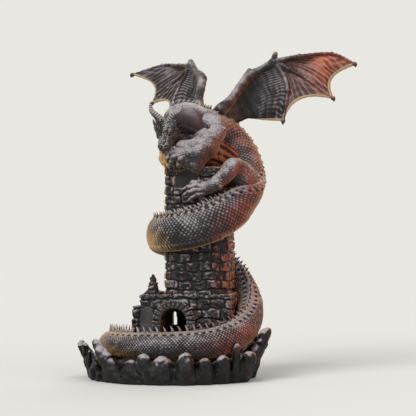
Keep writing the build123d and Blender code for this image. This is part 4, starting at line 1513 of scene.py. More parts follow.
    def _arch_ring(self) -> None:
        """Builds the stones round the arch and down its sides."""
        x, z, r = self.arch
        out_of_wall = self.front - 0.2
        angle = np.radians(np.linspace(-4, 184, 13))
        ring = [(x + (r + 2.5) * math.cos(a), out_of_wall, z + (r + 2.5) * math.sin(a)) for a in angle]
        out = [(math.cos(a), 0, math.sin(a)) for a in angle]
        size = [(2.65, 3.2, 5.2)] * len(ring)
        for k in range(4):
            for s in (-1, 1):
                ring.append((x + s * (r + 2.5), out_of_wall, z - 3.6 - 4.2 * k))
                out.append((s, 0, 0))
                size.append((4.1, 3.2, 5.2))
        side = [(-b, y, a) for a, y, b in out]
        places = (ring, out, side, size)
        self._set_stones("arch_stones", "gate_arch", self._rough_stone(8), places, (0.05, 0.05))

    def _turret(self) -> None:
        """Builds the buttress beside the gate and the small pointed turret over it."""
        clay = Clay((-38.5, -22, -0.5), (-31, -5, 31), 0.4)
        clay.add(Slab((-34.8, -13.5, 14.4), (2.3, 7, 14.4), rounded=0.5))
        self.finish(self.courses(clay.surface(), 31), "buttress_stone", "gate_buttress")
        sx, sy = -25.8, self.front + 6.3
        clay = Clay((sx - 6.5, sy - 6.5, 35), (sx + 6.5, sy + 6.5, 49), 0.28)
        clay.add(Slab((sx, sy, 36.6), (4.9, 4.9, 0.9), rounded=0.4))
        clay.add(Capsule((sx, sy, 36.6), (sx, sy, 46.8), 4.2, 1.2), 0.4)
        self.finish(self.courses(clay.surface(), 41, 0.12, 2.6), "turret_stone", "turret_spire")


@dataclass
class Rocks:
    """The ground and the ring of leaning rocks."""

    apothem: float = 40.0
    lean: float = 0.44  # outwards for each millimetre up
    drift: float = 0.09  # towards +X for each millimetre up
    # height and thickness of each shard, counted from +X towards +Y
    shards: tuple = (
        *((31, 8.4), (26, 7.0), (21, 6.0), (24, 6.4), (28, 6.0), (22, 5.6), (26, 5.2), (20, 5.2), (22, 4.8)),
        *((21, 4.6), (23, 5.2), (21, 5.4), (18, 5.8), (20, 6.4), (17, 6.6), (19, 7.0), (21, 7.8), (25, 8.4)),
    )
    # the splinters of a shard: place along its side, and shares of its width and of its height
    splinters: tuple = ((-0.5, 0.72, 1.0), (0.45, 0.66, 0.84), (-0.05, 0.6, 0.62), (0.9, 0.5, 0.5))
    # the large rocks of the front: foot, tip, and the radius at each
    boulders: tuple = (
        ((-40, -5, 1), (-48.5, -9, 19.5), 5.2, 2.9),
        ((-36, -16, 1), (-43, -15, 15), 5.0, 2.6),
        ((-25, -35, -1), (-41, -27, 22.5), 6.4, 3.6),
        ((-7, -43, -1), (-21.5, -45.5, 9.0), 3.6, 2.3),
        ((-10, -40, 4), (-13, -42.5, 14.5), 6.4, 4.6),
        ((-17, -40, 1), (-20, -42.5, 10.0), 6.4, 5.0),
        ((-1, -44, 1), (-2, -46.5, 12.4), 8.2, 6.2),
        ((11, -45, 1), (11.5, -47.5, 15.0), 8.0, 5.4),
        ((22, -42, 1), (22.5, -46, 12.6), 7.0, 4.6),
        ((31, -37, 1), (33.5, -42, 13.2), 6.8, 4.6),
        ((39, -33, 1), (41.4, -38, 21.0), 4.2, 2.4),
        ((42, -27, 1), (48.7, -33, 15.0), 6.8, 4.6),
        ((43, -14, 1), (59.5, -19, 28.5), 7.4, 3.9),
        ((45, -4, 1), (57, -5, 21), 6.2, 3.2),
    )

    def build(self) -> None:
        """Builds the ground and the shards, in a back and a front piece."""
        ground = Clay((-50, -49, -0.5), (52, 49, 17), 0.8)
        for z, r in ((1.0, 40.2), (5.0, 42.0), (9.0, 43.6), (12.6, 45.2)):
            ground.add(Slab((z * self.drift, 0, z / 2), (r * 0.7, r * 0.7, z / 2), rounded=0.3), 0.5)
            ground.add(Disc((z * self.drift, 0, z / 2), r, z / 2), 0.5)
        shape = ground.surface()
        up = ramp(shape.verts[:, 2], 9.0, 12.5)
        bumps = Noise.smooth(shape.verts, 4.5, 51, 3)
        shape.push(up * (0.55 * bumps + 0.9))
        shape.verts[:, 2] = np.maximum(shape.verts[:, 2], 0.0)
        shape.relief = 0.12 + 0.3 * bumps
        own(shape.build("ground_rock", Paint.ROCK), "figure", "stone", "rock_base")
        for k, name in enumerate(("back", "front")):
            self._ring(name, range(9 * k, 9 * k + 9))

    def _ring(self, name: str, which: range) -> None:
        """Builds half of the ring: four rough shards for each side of the slab, and the boulders in front.

        Args:
            name: which half.
            which: the sides of the slab in it.
        """
        rng = np.random.default_rng(61 + which[0])
        low, high = ((-58, -62, -0.2), (66, 4, 34)) if name == "front" else ((-58, -6, -0.2), (66, 60, 34))
        clay = Clay(low, high, 0.55)
        for i in which:
            height, thick = self.shards[i]
            for part, share, tall in self.splinters:
                a = 2 * math.pi * (i + part * 0.5) / len(self.shards)
                out = np.array([math.cos(a), math.sin(a), 0])
                along = np.array([-math.sin(a), math.cos(a), 0])
                lean = self.lean + rng.uniform(-0.05, 0.1)
                sideways = rng.uniform(-0.3, 0.3) - 0.5 * out[0]
                rise = unit(np.array([0, 0, 1.0]) + out * lean + along * sideways)
                face = unit(out - rise * (out @ rise))
                flank = np.cross(rise, face)
                tall_mm = height * tall * rng.uniform(0.9, 1.08) * (0.56 if name == "front" else 1.0)
                depth = thick * rng.uniform(0.8, 1.0)
                stand = self.apothem + depth * 0.45 + (2.2 if tall < 0.7 else 0)
                foot = out * stand + np.array([0, 0, -2.5])
                length = (tall_mm + 2.5) / rise[2]
                middle = foot + rise * length / 2 + np.array([self.drift * tall_mm / 2, 0, 0])
                wide = 13.0 * share / 2 * rng.uniform(0.8, 1.05)
                half, taper = (depth / 2, wide, length / 2), rng.uniform(0.3, 0.46)
                clay.add(Slab(middle, half, (face, flank, rise), depth * 0.26, taper), 0.2)
        for boulder in self.boulders if name == "front" else ():
            self._boulder(clay, *boulder)
        clay.value[:, :, 0] = EMPTY
        shape = clay.surface(2)
        near, second, chance = Noise.cells(shape.verts * [1, 1, 0.6], 6.5, 71)
        crack = ramp(second - near, 0.0, 0.35)
        rough = Noise.smooth(shape.verts, 3.2, 73, 3)
        above = ramp(shape.verts[:, 2], 0.3, 2.0)
        shape.push(above * (1.3 * (chance - 0.5) * crack + 0.3 * rough - 0.2 * (1 - crack)))
        shape.verts[:, 2] = np.maximum(shape.verts[:, 2], 0.0)
        # paler higher up and on the upward-facing tops, as painted top light
        high = ramp(shape.verts[:, 2], 5.0, 26.0)
        top = ramp(shape.normals()[:, 2], 0.0, 0.7) * ramp(shape.verts[:, 2], 9.0, 17.0)
        shape.relief = 0.02 + 0.14 * high + 0.72 * top + crack * (0.1 + 0.2 * (chance - 0.4)) + 0.22 * rough
        own(shape.build(f"rocks_{name}", Paint.ROCK), "figure", "stone", f"rock_shards_{name}")

    @staticmethod
    def _boulder(clay: Clay, foot: tuple, tip: tuple, wide: float, narrow: float) -> None:
        """Adds a rounded rock that leans, with a broken face near its top.

        Args:
            clay: the block to add it to.
            foot: the middle of its foot.
            tip: the middle of its top.
            wide: its radius at the foot.
            narrow: its radius at the top.
        """
        foot, tip = np.array(foot, float), np.array(tip, float)
        rise = unit(tip - foot)
        out = unit(np.array([*((foot + tip)[:2] / 2), 0.0]))
        face = unit(out - rise * (out @ rise))
        flank = np.cross(rise, face)
        for share in np.linspace(0, 1, 7):
            r = wide + (narrow - wide) * share
            knee = face * 1.2 * math.sin(math.pi * share)
            centre = foot + (tip - foot) * share + knee - rise * narrow * 0.6
            clay.add(Blob(centre, (r * 0.8, r, r * 1.1 + 1.5), (face, flank, rise)), 0.5)
        notch = tip + face * narrow * 1.15 - rise * 0.5
        axes = (unit(face + rise * 0.55), flank, unit(rise - face * 0.55))
        clay.cut(Slab(notch + axes[0] * 2.2, (2.6, 8, 7), axes, rounded=0.4), 0.5)


# ---- limbs
def hide_texture(
    shape: Sculpt, size: float = 1.5, depth: float = 0.2, base: float = 0.6, contrast: float = 0.26
) -> Sculpt:
    """Presses pebbled scales and slack folds into a sculpted hide.

    Args:
        shape: the sculpt.
        size: width of a scale in millimetres.
        depth: height of a scale.
        base: paint relief of the plain hide.
        contrast: how far the paint tells the scales from their gaps.

    Returns:
        The same sculpt.
    """
    p = shape.verts
    near, second, chance = Noise.cells(p, size, 81)
    scale = ramp(second - near, 0.02, 0.4)
    fold = Noise.smooth(p, 5.0, 83, 2)
    shape.push(depth * (scale - 0.6) + 0.3 * fold * depth / 0.22)
    # pale on the scales and raised folds as painted highlights, dark in the gaps as painted shade
    shape.relief = base + contrast * (scale - 0.6) + 0.12 * (chance - 0.5) * scale + 0.2 * fold
    return shape


def inner_body(start: float, end: float, inset: float, count: int = 14) -> list[Blob]:
    """Ellipsoids a little inside the body's skin, for limbs to blend into.

    Args:
        start: first station.
        end: last station.
        inset: how far inside the skin, in millimetres.
        count: how many.

    Returns:
        The ellipsoids.
    """
    here = SPINE.at(np.linspace(start, end, count))
    return [
        Blob(p, (h[0] - inset, h[1] - inset, 7.0), (a, d, f))
        for p, h, a, d, f in zip(here["point"], here["half"], here["across"], here["dorsal"], here["along"])
    ]


@dataclass(frozen=True)
class Limb:
    """An arm or leg: its rods, its muscles, and what part of the body it grows from."""

    node: str
    rods: tuple
    muscles: tuple
    body: tuple
    inset: float = 1.3

    def build(self) -> None:
        """Builds the limb and hands it over."""
        rods = chain(self.rods, 5)
        shapes = rods + list(self.muscles)
        low = np.min([s.reach()[0] for s in shapes], 0) - 2
        high = np.max([s.reach()[1] for s in shapes], 0) + 2
        clay = Clay(low, high, 0.42)
        clay.add(inner_body(*self.body, self.inset), 0.6).add(rods, 1.6).add(list(self.muscles), 2.2)
        own(hide_texture(clay.surface()).build(self.node + "_hide", Paint.HIDE), "figure", "hide", self.node)


@dataclass(frozen=True)
class Paw:
    """A hand or foot: a palm and digits that each end in a claw."""

    node: str
    palm: tuple
    digits: tuple
    thick: float = 1.35
    # how much ochre painted rim light the paw takes on its -X side
    rim_light_tint: float = 0.0

    def build(self) -> None:
        """Builds the palm, the knuckled digits and the claws as one piece."""
        palm = chain(self.palm, 3)
        digits = [np.array(d, float) for d in self.digits]
        every = np.vstack([np.array(self.palm, float)[:, :3], *digits])
        clay = Clay(every.min(0) - 5.5, every.max(0) + 4.5, 0.24)
        clay.add(palm, 1.2)
        claws = Clay(every.min(0) - 5.5, every.max(0) + 4.5, 0.24)
        for digit in digits:
            n = len(digit)
            radii = np.linspace(self.thick * 1.1, self.thick * 0.8, n - 1)
            clay.add(chain(np.column_stack([digit[:-1], radii]), 3), 0.7)
            for joint, r in zip(digit[1:-1], radii[1:]):
                clay.add(Blob(joint + [0, -0.25, 0.3], (r * 1.22,) * 3), 0.5)
            tip, before = digit[-1], digit[-2]
            middle = (tip + before) / 2 + [0, -0.5, 0.55]
            claws.add(chain([(*before, 0.95), (*middle, 0.72), (*tip, 0.14)], 3), 0.2)
        shape = hide_texture(clay.surface(), 0.95, 0.13, 0.62)
        sharp = claws.surface(0)
        sharp.relief = np.full(len(sharp.verts), 0.8)
        shape = shape.join(sharp)
        # ochre painted warm rim light along the side towards -X
        if self.rim_light_tint:
            shape.tint = -self.rim_light_tint * ramp(shape.verts[:, 0], 3.6, -1.2) * ramp(shape.relief, 0.2, 0.6)
        own(shape.build(self.node + "_hide", Paint.HIDE), "figure", "hide", self.node)


@dataclass
class Limbs:
    """The four limbs and the belly plates."""

    plates: int = 13  # down the chest and belly
    plate_span: tuple = (3.2, 6.3)  # the stations of the first and of the last
    limbs: tuple = (
        Limb("arm_left", (
            (25, 0.5, 154, 6.8), (28.6, -5.6, 151, 4.8), (30.8, -9.8, 147.4, 3.9), (25.4, -14.6, 141.2, 6),
            (18.6, -17.2, 135.8, 6.8), (12.6, -17.8, 134, 5.2),
        ), (
            Blob((23.6, -2, 153.6), (6.6, 6.2, 5.8)), Blob((10.6, -16.6, 138), (5, 4.2, 4.4)),
            Blob((11, 0, 143), (8, 7, 7.6)), Blob((24, -16, 137.6), (6.6, 5.4, 6.4)),
            Blob((18.2, -17.4, 132), (5.4, 4.4, 5.4)), Blob((15.2, -16.8, 137.6), (5.6, 4.2, 3.8)),
            Blob((14, 1, 146.5), (8, 7.4, 7.6)), Blob((22, -4, 142.5), (7, 7, 7)),
            Capsule((30.6, -10.2, 146.6), (35.6, -14.4, 149.4), 2.8, 0.15),
            Capsule((30.6, -12, 146.6), (17.6, -19.2, 125.6), 3.2, 2.5),
            Blob((17.4, -18.6, 128), (4.4, 3.8, 4.8)), Blob((12.2, -18.4, 129.6), (5.6, 3.8, 4.2)),
        ), (2.6, 4.2)),
        Limb("arm_right", (
            (13.4, 7.5, 151.5, 6.2), (4.6, 3.4, 146, 4.6), (0.6, -4.6, 141, 3.6), (-0.9, -9.6, 137, 3),
        ), (
            Blob((11.5, 7.6, 151), (6.4, 6, 5.8)), Blob((2.4, 0.6, 144.4), (4, 4.2, 4)),
            Capsule((2.6, 5, 146.8), (0.6, 9.4, 149.4), 2, 0.3),
        ), (1.9, 3.4)),
        Limb("leg_left", (
            (46.4, -6, 119, 8), (40, -15.4, 126.4, 4.9), (34.4, -19.6, 121, 4.1), (27.8, -21.2, 115.2, 3),
        ), (
            Blob((45, -8.6, 119.4), (7.6, 8, 8)), Blob((42, -12.6, 123.6), (5.2, 5.2, 5.4)),
            Blob((39, -17, 127.2), (3.3, 3, 3)),
            Blob((36.4, -18.2, 124), (3.6, 3.6, 4.8), ((0.8, 0, -0.6), (0, 1, 0), (0.6, 0, 0.8))),
            Capsule((30, -21.4, 117.4), (32.6, -24, 113.4), 1.6, 0.3),
        ), (5.2, 7.6)),
        Limb("leg_right", (
            (43, 20, 121, 7.4), (34, 26.4, 127, 5), (27, 27.6, 120, 4), (22.8, 26.6, 115.2, 3),
        ), (
            Blob((41, 21, 121.6), (7.4, 7.6, 7.6)), Blob((37, 24.4, 125), (5.2, 5, 5.2)),
            Blob((29.6, 27.2, 123.6), (3.6, 3.6, 4.8), ((0.8, 0, -0.6), (0, 1, 0), (0.6, 0, 0.8))),
            Capsule((24.6, 28.2, 117.6), (25.6, 31.2, 113.6), 1.6, 0.3),
        ), (4.6, 6.4)),
    )
    paws: tuple = (
        Paw("hand_left", ((13.4, -17.6, 134, 5), (9, -18.2, 133.6, 4.4), (6, -18.4, 133.2, 3.3)), (
            ((7, -19, 135.8), (3, -19.8, 136.2), (0.2, -19.8, 133.8), (-0.8, -19.6, 130.6)),
            ((6.6, -20.6, 134.2), (3, -21.8, 134), (0.8, -21.6, 131), (0.4, -21.2, 128)),
            ((7.4, -21.4, 132.4), (4.6, -22.8, 131.6), (3, -22.2, 128.6), (3.2, -21.8, 126)),
            ((9.8, -21.4, 131.4), (8.2, -22.8, 129.8), (7.2, -22.2, 127), (7.8, -21.6, 124.8)),
        ), 1.5),
        Paw("hand_right", ((-0.9, -9.4, 137.2, 3.1), (-0.4, -12.2, 134.6, 3.2), (0, -13.4, 133, 2.7)), (
            ((-1.8, -13.2, 134.4), (-2.8, -14.8, 131.6), (-1.8, -15.2, 128.2), (-0.4, -14.6, 124.8)),
            ((-0.4, -14.2, 133.6), (0, -16.2, 130.4), (1.2, -16.6, 126.8), (2.4, -16, 123.6)),
            ((1.4, -14.4, 133.6), (2.8, -16.6, 131), (4, -17.2, 127.8), (5, -16.8, 124.8)),
            ((-2.4, -10.8, 134.4), (-3.4, -10.8, 131), (-1.8, -10, 128), (-0.2, -9.4, 126)),
        ), 1.25, 0.85),
        Paw("foot_left", ((27.6, -21.2, 115.4, 3.1), (24.2, -20.6, 113.8, 3.3), (21.6, -20.2, 113, 2.7)), (
            ((23.4, -20.6, 115.8), (19.4, -20.4, 117), (15.8, -19.4, 116.8), (13.2, -17.8, 115.4)),
            ((22.4, -21.4, 114.4), (17.4, -21.2, 114.8), (12.6, -20, 114), (8.8, -17.8, 111.8)),
            ((21.8, -21.6, 112.6), (17, -21.4, 112.2), (12.6, -20.2, 110.8), (9, -18, 108.4)),
            ((22.4, -21.2, 110.8), (18.4, -21, 109.6), (15.2, -19.8, 107.6), (12.4, -18.4, 105.2)),
        ), 1.4),
        Paw("foot_right", ((22.8, 26.6, 115.6, 3.1), (19.6, 25.8, 114, 3.2), (17.2, 25.2, 113.2, 2.6)), (
            ((18.8, 25.8, 115.8), (14.8, 25.2, 117), (11.2, 24.2, 116.6), (8.8, 22.8, 115.2)),
            ((17.8, 26.4, 114.2), (13.2, 25.8, 114.4), (9, 24.6, 113.4), (6, 22.8, 111.2)),
            ((17.4, 26.4, 112.4), (13.2, 25.8, 111.8), (9.4, 24.6, 110.4), (6.6, 22.8, 108)),
        ), 1.4),
    )

    def build(self) -> None:
        """Builds the limbs, hands, feet and belly plates."""
        for piece in self.limbs + self.paws:
            piece.build()
        made = self._abdomen()
        for k in reversed(range(self.plates)):
            made = self._plate(k).join(made)
        own(made.build("belly_scutes", Paint.BELLY), "figure", "belly", "belly_plates")

    def _plate(self, k: int) -> Sculpt:
        """Shapes a broad plate that overlaps the one below it.

        Args:
            k: which plate, from the chest.

        Returns:
            The plate.
        """
        first, last = self.plate_span
        step, wide = (last - first) / self.plates, 1.15
        here = SPINE.at(np.linspace(first + step * k, first + step * (k + 1.16), 12))
        phi, v = np.linspace(-wide, wide, 41), np.linspace(0, 1, 12)[:, None]
        across = np.abs(phi)[None] / wide
        places = np.stack(np.broadcast_arrays(v * 5, phi * 6, k * 7.0), -1).reshape(-1, 3)
        out = 0.35 + 1.05 * ramp(v, 0.0, 0.75) * (1 - across**4) - 0.5 * ramp(v, 0.86, 1.0)
        out = out + 0.1 * Noise.smooth(places, 1).reshape(out.shape)
        inner = np.full_like(out, -0.8)
        plate = Sheet(*(SPINE.section(here, grow, phi + math.pi) for grow in (out, inner))).skin()
        plate.relief = np.tile((0.2 + 0.75 * ramp(v, 0.1, 0.8) * (1 - 0.5 * across**2)).ravel(), 2)
        return plate

    @staticmethod
    def _abdomen() -> Sculpt:
        """Shapes the full belly under the plates, with its own shallow plates.

        Returns:
            The belly.
        """
        t = np.linspace(3.0, 6.2, 17)
        here = SPINE.at(t)
        drop = 2.0 + 7.0 * np.sin(math.pi * (t - 3.0) / 3.2) ** 0.8
        clay = Clay((8, -14, 104), (58, 28, 156), 0.42)
        for p, h, a, d, f, low in zip(
            here["point"], here["half"], here["across"], here["dorsal"], here["along"], drop
        ):
            size = (h[0] * 0.86, h[1] * 0.84, 6.0)
            clay.add(Blob(p - d * low, size, (a, d, f)), 1.2)
        clay.add(Blob((24.4, 2.0, 132.6), (9.6, 9.4, 8.6)), 2.0)
        abdomen = clay.surface()
        v = abdomen.verts
        aside = v[:, 0] - 29.5
        share = np.mod((v[:, 2] + 0.028 * aside**2 + 0.3 * aside) / 5.0, 1)
        ridge = ramp(share, 0.0, 0.22) * ramp(1 - share, 0.0, 0.5)
        middle = ramp(np.abs(aside - 1.0 + 0.12 * (v[:, 2] - 133)), 0.0, 0.8)
        abdomen.push(0.8 * ridge * (0.45 + 0.55 * middle) - 0.4)
        abdomen.relief = 0.08 + 0.75 * ridge * (0.5 + 0.5 * middle) + 0.2 * Noise.smooth(v, 1.8, 57, 2)
        return abdomen


class Side(enum.Enum):
    """A side of the dragon; the value is its sign along the way to the dragon's left."""

    LEFT = 1
    RIGHT = -1


# ---- head
@dataclass
class Head:
    """The skull, lower jaw, horns, eyes and teeth, in the head's own frame."""

    scatter: Scatter
    nape: tuple = (0.7, -12.9, 151.6)
    facing: tuple = (-0.12, -0.60, -0.79)
    crown: tuple = (-0.10, -0.78, 0.60)
    grain: float = 0.27
    teeth: int = 7  # on each side of each lip
    # each horn's side, and four points from its foot to its tip
    horns: tuple = (
        (Side.LEFT, ((2.0, -15.6, 152.8), (4.4, -17.0, 156.6), (7.6, -16.6, 158.8), (9.4, -14.6, 163.2))),
        (Side.RIGHT, ((-2.0, -15.2, 152.6), (-5.2, -15.0, 155.8), (-8.8, -13.4, 159.6), (-9.8, -11.6, 164.6))),
    )

    def __post_init__(self) -> None:
        """Sets the head's three directions."""
        self.along, up = unit(np.array(self.facing)), np.array(self.crown)
        self.up = unit(up - self.along * (up @ self.along))
        self.across = np.cross(self.along, self.up)
        self.axes = (self.along, self.across, self.up)

    def at(self, along: float, across: float, up: float) -> Array:
        """A point of the head's frame, in the figure's frame."""
        return self.nape + self.along * along + self.across * across + self.up * up

    def rod(self, *joints: tuple) -> list[Shape]:
        """Rods through joints of (along, across, up, radius)."""
        return chain([(*self.at(*j[:3]), j[3]) for j in joints], 3)

    def blob(self, place: tuple, radii: tuple) -> Blob:
        """An ellipsoid lined up with the head."""
        return Blob(self.at(*place), radii, self.axes)

    def build(self) -> None:
        """Builds the head's pieces."""
        self._skull()
        self._jaw()
        self._teeth()
        for side, path in self.horns:
            self._horn(side, path)

    def _clay(self) -> Clay:
        """An empty block round the head."""
        return Clay(np.add(self.nape, (-14, -20, -25)), np.add(self.nape, (14, 10, 14)), self.grain)

    def _skull(self) -> None:
        """Builds the skull with its brows, eyes, cheeks, frills and snout."""
        skull, rod, blob = self._clay(), self.rod, self.blob
        skull.add(blob((3, 0, 0.2), (6.6, 5.6, 5)), 1)
        skull.add(blob((10.5, 0, 0.3), (7.5, 3.9, 3.3)), 2)
        skull.add(blob((17, 0, 0.2), (3.6, 3.3, 2.6)), 1.2)
        skull.add(rod((6, 0, 4, 1.1), (11, 0, 3.4, 0.9), (16, 0, 2.6, 0.8)), 0.8)
        for s in (-1, 1):
            skull.add(rod((1.5, 4.4 * s, 4, 1.8), (5.5, 4.3 * s, 4.6, 1.5), (10, 2.6 * s, 3.6, 0.8)), 0.7)
            skull.add(blob((6.5, 4.3 * s, -1.2), (3.8, 1.9, 2.4)), 1)
            skull.add(rod((5, 5.0 * s, -0.6, 1.3), (1, 7.4 * s, 0.2, 0.9), (-2.4, 9.2 * s, 1.8, 0.2)), 0.6)
            skull.add(rod((6, 5.0 * s, -2.4, 1.1), (2.6, 7.2 * s, -3, 0.7), (-0.4, 8.8 * s, -3, 0.2)), 0.6)
            skull.add(rod((3, 4.6 * s, 4.6, 1), (0.6, 6.6 * s, 6.4, 0.6), (-1.4, 7.8 * s, 8, 0.15)), 0.5)
            skull.add(rod((9, 3.4 * s, -1.6, 0.8), (14, 3.2 * s, -1.7, 0.7), (18.6, 2.0 * s, -1.6, 0.7)), 0.5)
            skull.add(blob((18, 1.9 * s, 1.9), (1.7, 1.3, 1.3)), 0.6)
            skull.cut(blob((19.1, 1.9 * s, 2.5), (0.9, 0.55, 0.7)), 0.2)
            skull.cut(blob((8.4, 4.3 * s, 1.9), (1.9, 1.5, 1.35)), 0.4)
            skull.add(blob((8.3, 3.5 * s, 1.7), (1.2, 1.1, 1.1)), 0.05)
            skull.add(blob((1.4, 3.1 * s, 3.4), (2.6, 2.5, 2.6)), 0.8)
        for a, u, r in ((12.4, 3.7, 0.8), (14.6, 3.4, 0.7), (9.8, 4.5, 0.9), (17.2, 3.1, 0.7)):
            skull.add(rod((a, 0, u - 0.6, r), (a - 0.9, 0, u + 1.5, 0.15)), 0.3)
        shape = hide_texture(skull.surface(), 1.1, 0.2, 0.38, 0.42)
        own(shape.build("skull_hide", Paint.HIDE), "figure", "hide", "skull")

    def _jaw(self) -> None:
        """Builds the lower jaw with the spikes of the chin."""
        jaw, rod, blob = self._clay(), self.rod, self.blob
        jaw.add(blob((10, 0, -5.2), (6.8, 3, 1.2)), 0.8)
        for s in (-1, 1):
            jaw.add(rod((3.4, 4.2 * s, -3, 1.7), (9, 3.3 * s, -4.8, 1.2), (16.6, 1.3 * s, -6, 0.9)), 0.6)
            jaw.add(rod((9, 2.2 * s, -6, 0.7), (6.6, 3.0 * s, -8.2, 0.15)), 0.4)
        jaw.add(rod((15.6, 0, -6, 1.2), (17.4, 0, -5.8, 0.9)), 0.6)
        jaw.add(rod((15, 0, -6.6, 0.9), (13.6, 0, -9.4, 0.2)), 0.4)
        shape = hide_texture(jaw.surface(), 1, 0.13, 0.36, 0.4)
        own(shape.build("jaw_hide", Paint.HIDE), "figure", "hide", "lower_jaw")

    def _teeth(self) -> None:
        """Sets a row of small teeth along each lip."""
        points, up, size = [], [], []
        for s in (-1, 1):
            for k in range(self.teeth):
                a = 9.5 + 1.35 * k
                points.append(self.at(a, s * (3.5 - 0.16 * k), -2.0))
                up.append(-self.up + self.along * 0.1)
                size.append((0.62, 0.62, 1.5 - 0.5 * (k % 2)))
                points.append(self.at(a - 0.4, s * (3.0 - 0.24 * k), -4.3 - 0.17 * k))
                up.append(self.up + self.along * 0.1)
                size.append((0.55, 0.55, 1.2 + 0.4 * (k % 2)))
        tooth, back = hook(lean=-0.2), -self.along
        made = self.scatter.place("teeth", tooth, Paint.HORN, points, up, back, size, 0.1, 0.15)
        own(made, "figure", "horn")

    @staticmethod
    def _horn(side: Side, path: tuple) -> None:
        """Builds a thick ridged horn that curves out and up from the brow.

        Args:
            side: which horn.
            path: four points from its foot to its tip.
        """
        name, t = side.name.lower(), np.linspace(0, 3, 70)
        middle = curve(np.array(path), t)
        along = unit(np.gradient(middle, axis=0))
        across = unit(np.cross(along, [0.1, 1, 0.2]))
        other = np.cross(along, across)
        share = t / 3
        ring = np.abs(np.mod(share * 11, 1) - 0.5) * 2
        radius = 2.5 * (1 - share) ** 0.6 + 0.16 + 0.3 * (1 - share) * ring
        angle = np.linspace(0, 2 * math.pi, 28, endpoint=False)
        rows = middle[:, None] + radius[:, None, None] * (
            across[:, None] * np.cos(angle)[None, :, None] + other[:, None] * np.sin(angle)[None, :, None]
        )
        shape = lattice(rows)
        shape.relief = np.concatenate([np.repeat(0.3 + 0.6 * ring, 28), [0.3, 0.9]])
        own(shape.build(f"horn_{name}_ridged", Paint.HORN), "figure", "horn", f"horn_{name}")


